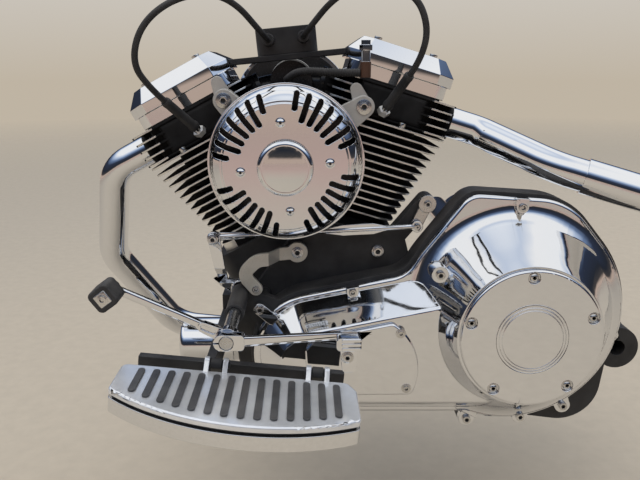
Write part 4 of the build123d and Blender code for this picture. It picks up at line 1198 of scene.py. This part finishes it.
# Centres in millimetres of the clutch cover and of the round cover, and the hub cap's knurled rim
CLUTCH_CENTRE = (263.5, 54.0)
ROUND_CENTRE = (-38.6, 262.0)
KNURL_COUNT, KNURL_RADIUS, KNURL_PLACE = 84, 33.7, -195.0


class POWERTRAIN_OT_hardware(bpy.types.Operator):
    """Makes the screws, bolts and knurling"""

    bl_idname = "powertrain.hardware"
    bl_label = "Hardware"

    def execute(self, context):
        self.primary_screws()
        self.round_cover_screws()
        self.control_bolts()
        self.engine_bolts()
        self.right_side_screws()
        return {"FINISHED"}

    def primary_screws(self):
        lugs = ((157, 0, 122), (209, 0, -99), (284, 0, -96), (343, 0, -80), (-76, 0, 67))
        screws_on("primary_screws", "outer_primary", LEFT, lugs, (5.6, 4.6), (2.9, 3.0))
        tabs = ((47, 0, 91), (265, 0, 204))
        screws_on("primary_tab_screws", "outer_primary", LEFT, tabs, (5.2, 3.4))
        ring = ring_of(5, CLUTCH_CENTRE, 79.0, 92.0)
        screws_on("clutch_cover_screws", "clutch_cover", LEFT, ring, (5.6, 3.0), (2.5, 2.2),
                  (6.6, 0.8), domed=True)
        plate = ((106, 0, 50), (115, 0, -26))
        screws_on("inspection_screws", "inspection_cover", LEFT, plate, (4.2, 2.6), (2.1, 2.0),
                  (6.4, 0.7))

    def round_cover_screws(self):
        ring = ring_of(4, ROUND_CENTRE, 54.0, 5.6)
        screws_on("round_cover_screws", "slotted_cover", LEFT, ring, (5.0, 3.4), (1.8, 1.2),
                  (6.2, 0.6), "polished_chrome", domed=True)
        middle_x, middle_z = ROUND_CENTRE
        knurl = []
        for x, _, z in ring_of(KNURL_COUNT, ROUND_CENTRE, KNURL_RADIUS):
            outwards = Vector((x - middle_x, 0.0, z - middle_z)).normalized()
            knurl.append((at(x, KNURL_PLACE, z), outwards))
        screws("hub_cap_knurl", "hub_cap", knurl, (1.0, 0.5), (0.1, 0.05), (0.4, 0.1),
               "polished_chrome", sides=6, recess_sides=3, round_off=0.0)
        ears = ((-118.5, 0, 337.9), (61, 0, 329.6))
        screws_on("ear_bolts", "cover_bracket", LEFT, ears, (6.2, 5.2), (3.2, 2.0), (10.0, 1.8),
                  sides=6, recess_sides=12)

    def control_bolts(self):
        # Name, CAD piece, place in millimetres, sides, and sizes of head, recess and flange
        bolts = (
            ("stay_bolt", "curved_stay", (-26, 0, 136), 24, (6.0, 3.4), (3.4, 2.2), (8.0, 0.8)),
            ("stay_low_bolt", "curved_stay", (-81.5, 0, 91.5), 24, (5.0, 2.8), (2.4, 2.0)),
            ("arm_pivot_bolt", "shift_arm", (-138, 0, 157), 24, (5.6, 3.2), (2.8, 2.0), (7.2, 0.8)),
            ("rod_end_bolt", "shift_rod", (136, 0, 170), 6, (5.2, 4.0), (1.2, 0.6)),
            ("lever_pivot_bolt", "gearbox_shift_lever", (150, 0, 200), 24, (5.0, 3.4), (2.4, 2.0)),
            ("heel_block_bolt", "heel_lever", (31, 0, 67), 24, (5.2, 2.6), (2.4, 1.8), (7.0, 0.8)),
        )
        for name, node, place, sides, *sizes in bolts:
            screws_on(name, node, LEFT, (place,), *sizes, sides=sides)
        x, y, z = PEG_END
        seat = at(x, y + PLATE_DEPTHS[1], z)
        screws("peg_screw", "toe_peg", [(seat, LEFT)], (4.6, 2.0), (2.6, 1.6), (5.6, 0.6))

    def engine_bolts(self):
        screws_on("crankcase_bolt", "crankcase", LEFT, ((84.5, 0, 132.7),), (6.6, 4.2), (3.4, 2.4),
                  (8.4, 1.0))
        for end, along in (("front", -31.0), ("rear", 22.0)):
            turn = leaning(end)
            axis = turn @ UP
            seats = (turn @ Vector((along, -81.0, 330.0)),)
            screws_on(end + "_head_bolt", end + "_cylinder", axis, seats, (4.8, 7.0), (1.5, 0.8),
                      (5.6, 1.6), sides=12)
            tops = [turn @ Vector((sx, sy, 400.0)) for sx in (-40.0, 40.0) for sy in (-38.0, 46.0)]
            screws_on(end + "_rocker_screws", end + "_rocker_box", axis, tops, (5.4, 4.0),
                      (2.8, 2.4))
        low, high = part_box("gearbox_top_cover")
        inset = Vector((0.011, 0.011, 0.0))
        first = (Vector(low) + inset - CRANK) / MM
        last = (Vector(high) - inset - CRANK) / MM
        middle = 0.5 * (first.x + last.x)
        lid = [(x, y, 0.0) for x in (first.x, middle, last.x) for y in (first.y, last.y)]
        screws_on("gearbox_lid_screws", "gearbox_top_cover", UP, lid, (5.0, 3.6), (2.6, 2.2))

    def right_side_screws(self):
        cam = ((-78, 0, 70), (82, 0, 78), (0, 0, -52), (58, 0, -62), (0, 0, 100), (-56, 0, 10))
        screws_on("cam_cover_screws", "cam_cover", RIGHT, cam, (4.8, 3.4), (2.6, 2.2))
        ring = ring_of(3, middle_of("air_cleaner_cover"), 58.0, 90.0)
        screws_on("cleaner_screws", "air_cleaner_cover", RIGHT, ring, (5.4, 2.2), (2.4, 1.4),
                  metal="polished_chrome", domed=True)
        side = ((263, 0, 96), (222, 0, 54), (346, 0, 83), (388, 0, 41), (314, 0, -50), (252, 0, 12))
        screws_on("side_cover_screws", "gearbox_side_cover", RIGHT, side, (4.8, 3.4), (2.6, 2.2))


STEPS = (
    POWERTRAIN_OT_stage,
    POWERTRAIN_OT_cylinders,
    POWERTRAIN_OT_castings,
    POWERTRAIN_OT_chrome_covers,
    POWERTRAIN_OT_foot_controls,
    POWERTRAIN_OT_footboard,
    POWERTRAIN_OT_exhaust,
    POWERTRAIN_OT_electrics,
    POWERTRAIN_OT_fuel_line,
    POWERTRAIN_OT_hardware,
)
SETTINGS = {"powertrain_stage": StageSettings, "powertrain_finish": FinishSettings}


class POWERTRAIN_PT_panel(bpy.types.Panel):
    """Lists the powertrain's pieces and settings"""

    bl_label = "Powertrain"
    bl_space_type = "VIEW_3D"
    bl_region_type = "UI"
    bl_category = "Powertrain"

    def draw(self, context):
        for group in SETTINGS:
            box = self.layout.box()
            settings = getattr(context.scene, group)
            for name in settings.__annotations__:
                box.prop(settings, name)
        for step in STEPS:
            self.layout.operator(step.bl_idname)


CLASSES = (*SETTINGS.values(), *STEPS, POWERTRAIN_PT_panel)


def register():
    for kind in CLASSES:
        bpy.utils.register_class(kind)
    for name, group in SETTINGS.items():
        setattr(bpy.types.Scene, name, PointerProperty(type=group))


def unregister():
    for name in SETTINGS:
        delattr(bpy.types.Scene, name)
    for kind in reversed(CLASSES):
        bpy.utils.unregister_class(kind)


def run_step(step):
    """Calls an operator by its name."""
    area, name = step.bl_idname.split(".")
    getattr(getattr(bpy.ops, area), name)()


def corners(box):
    """A box's two corners as plain lists."""
    return [[float(c) for c in corner] for corner in box]


def main():
    register()
    for step in STEPS:
        run_step(step)


if __name__ == "__main__":
    main()
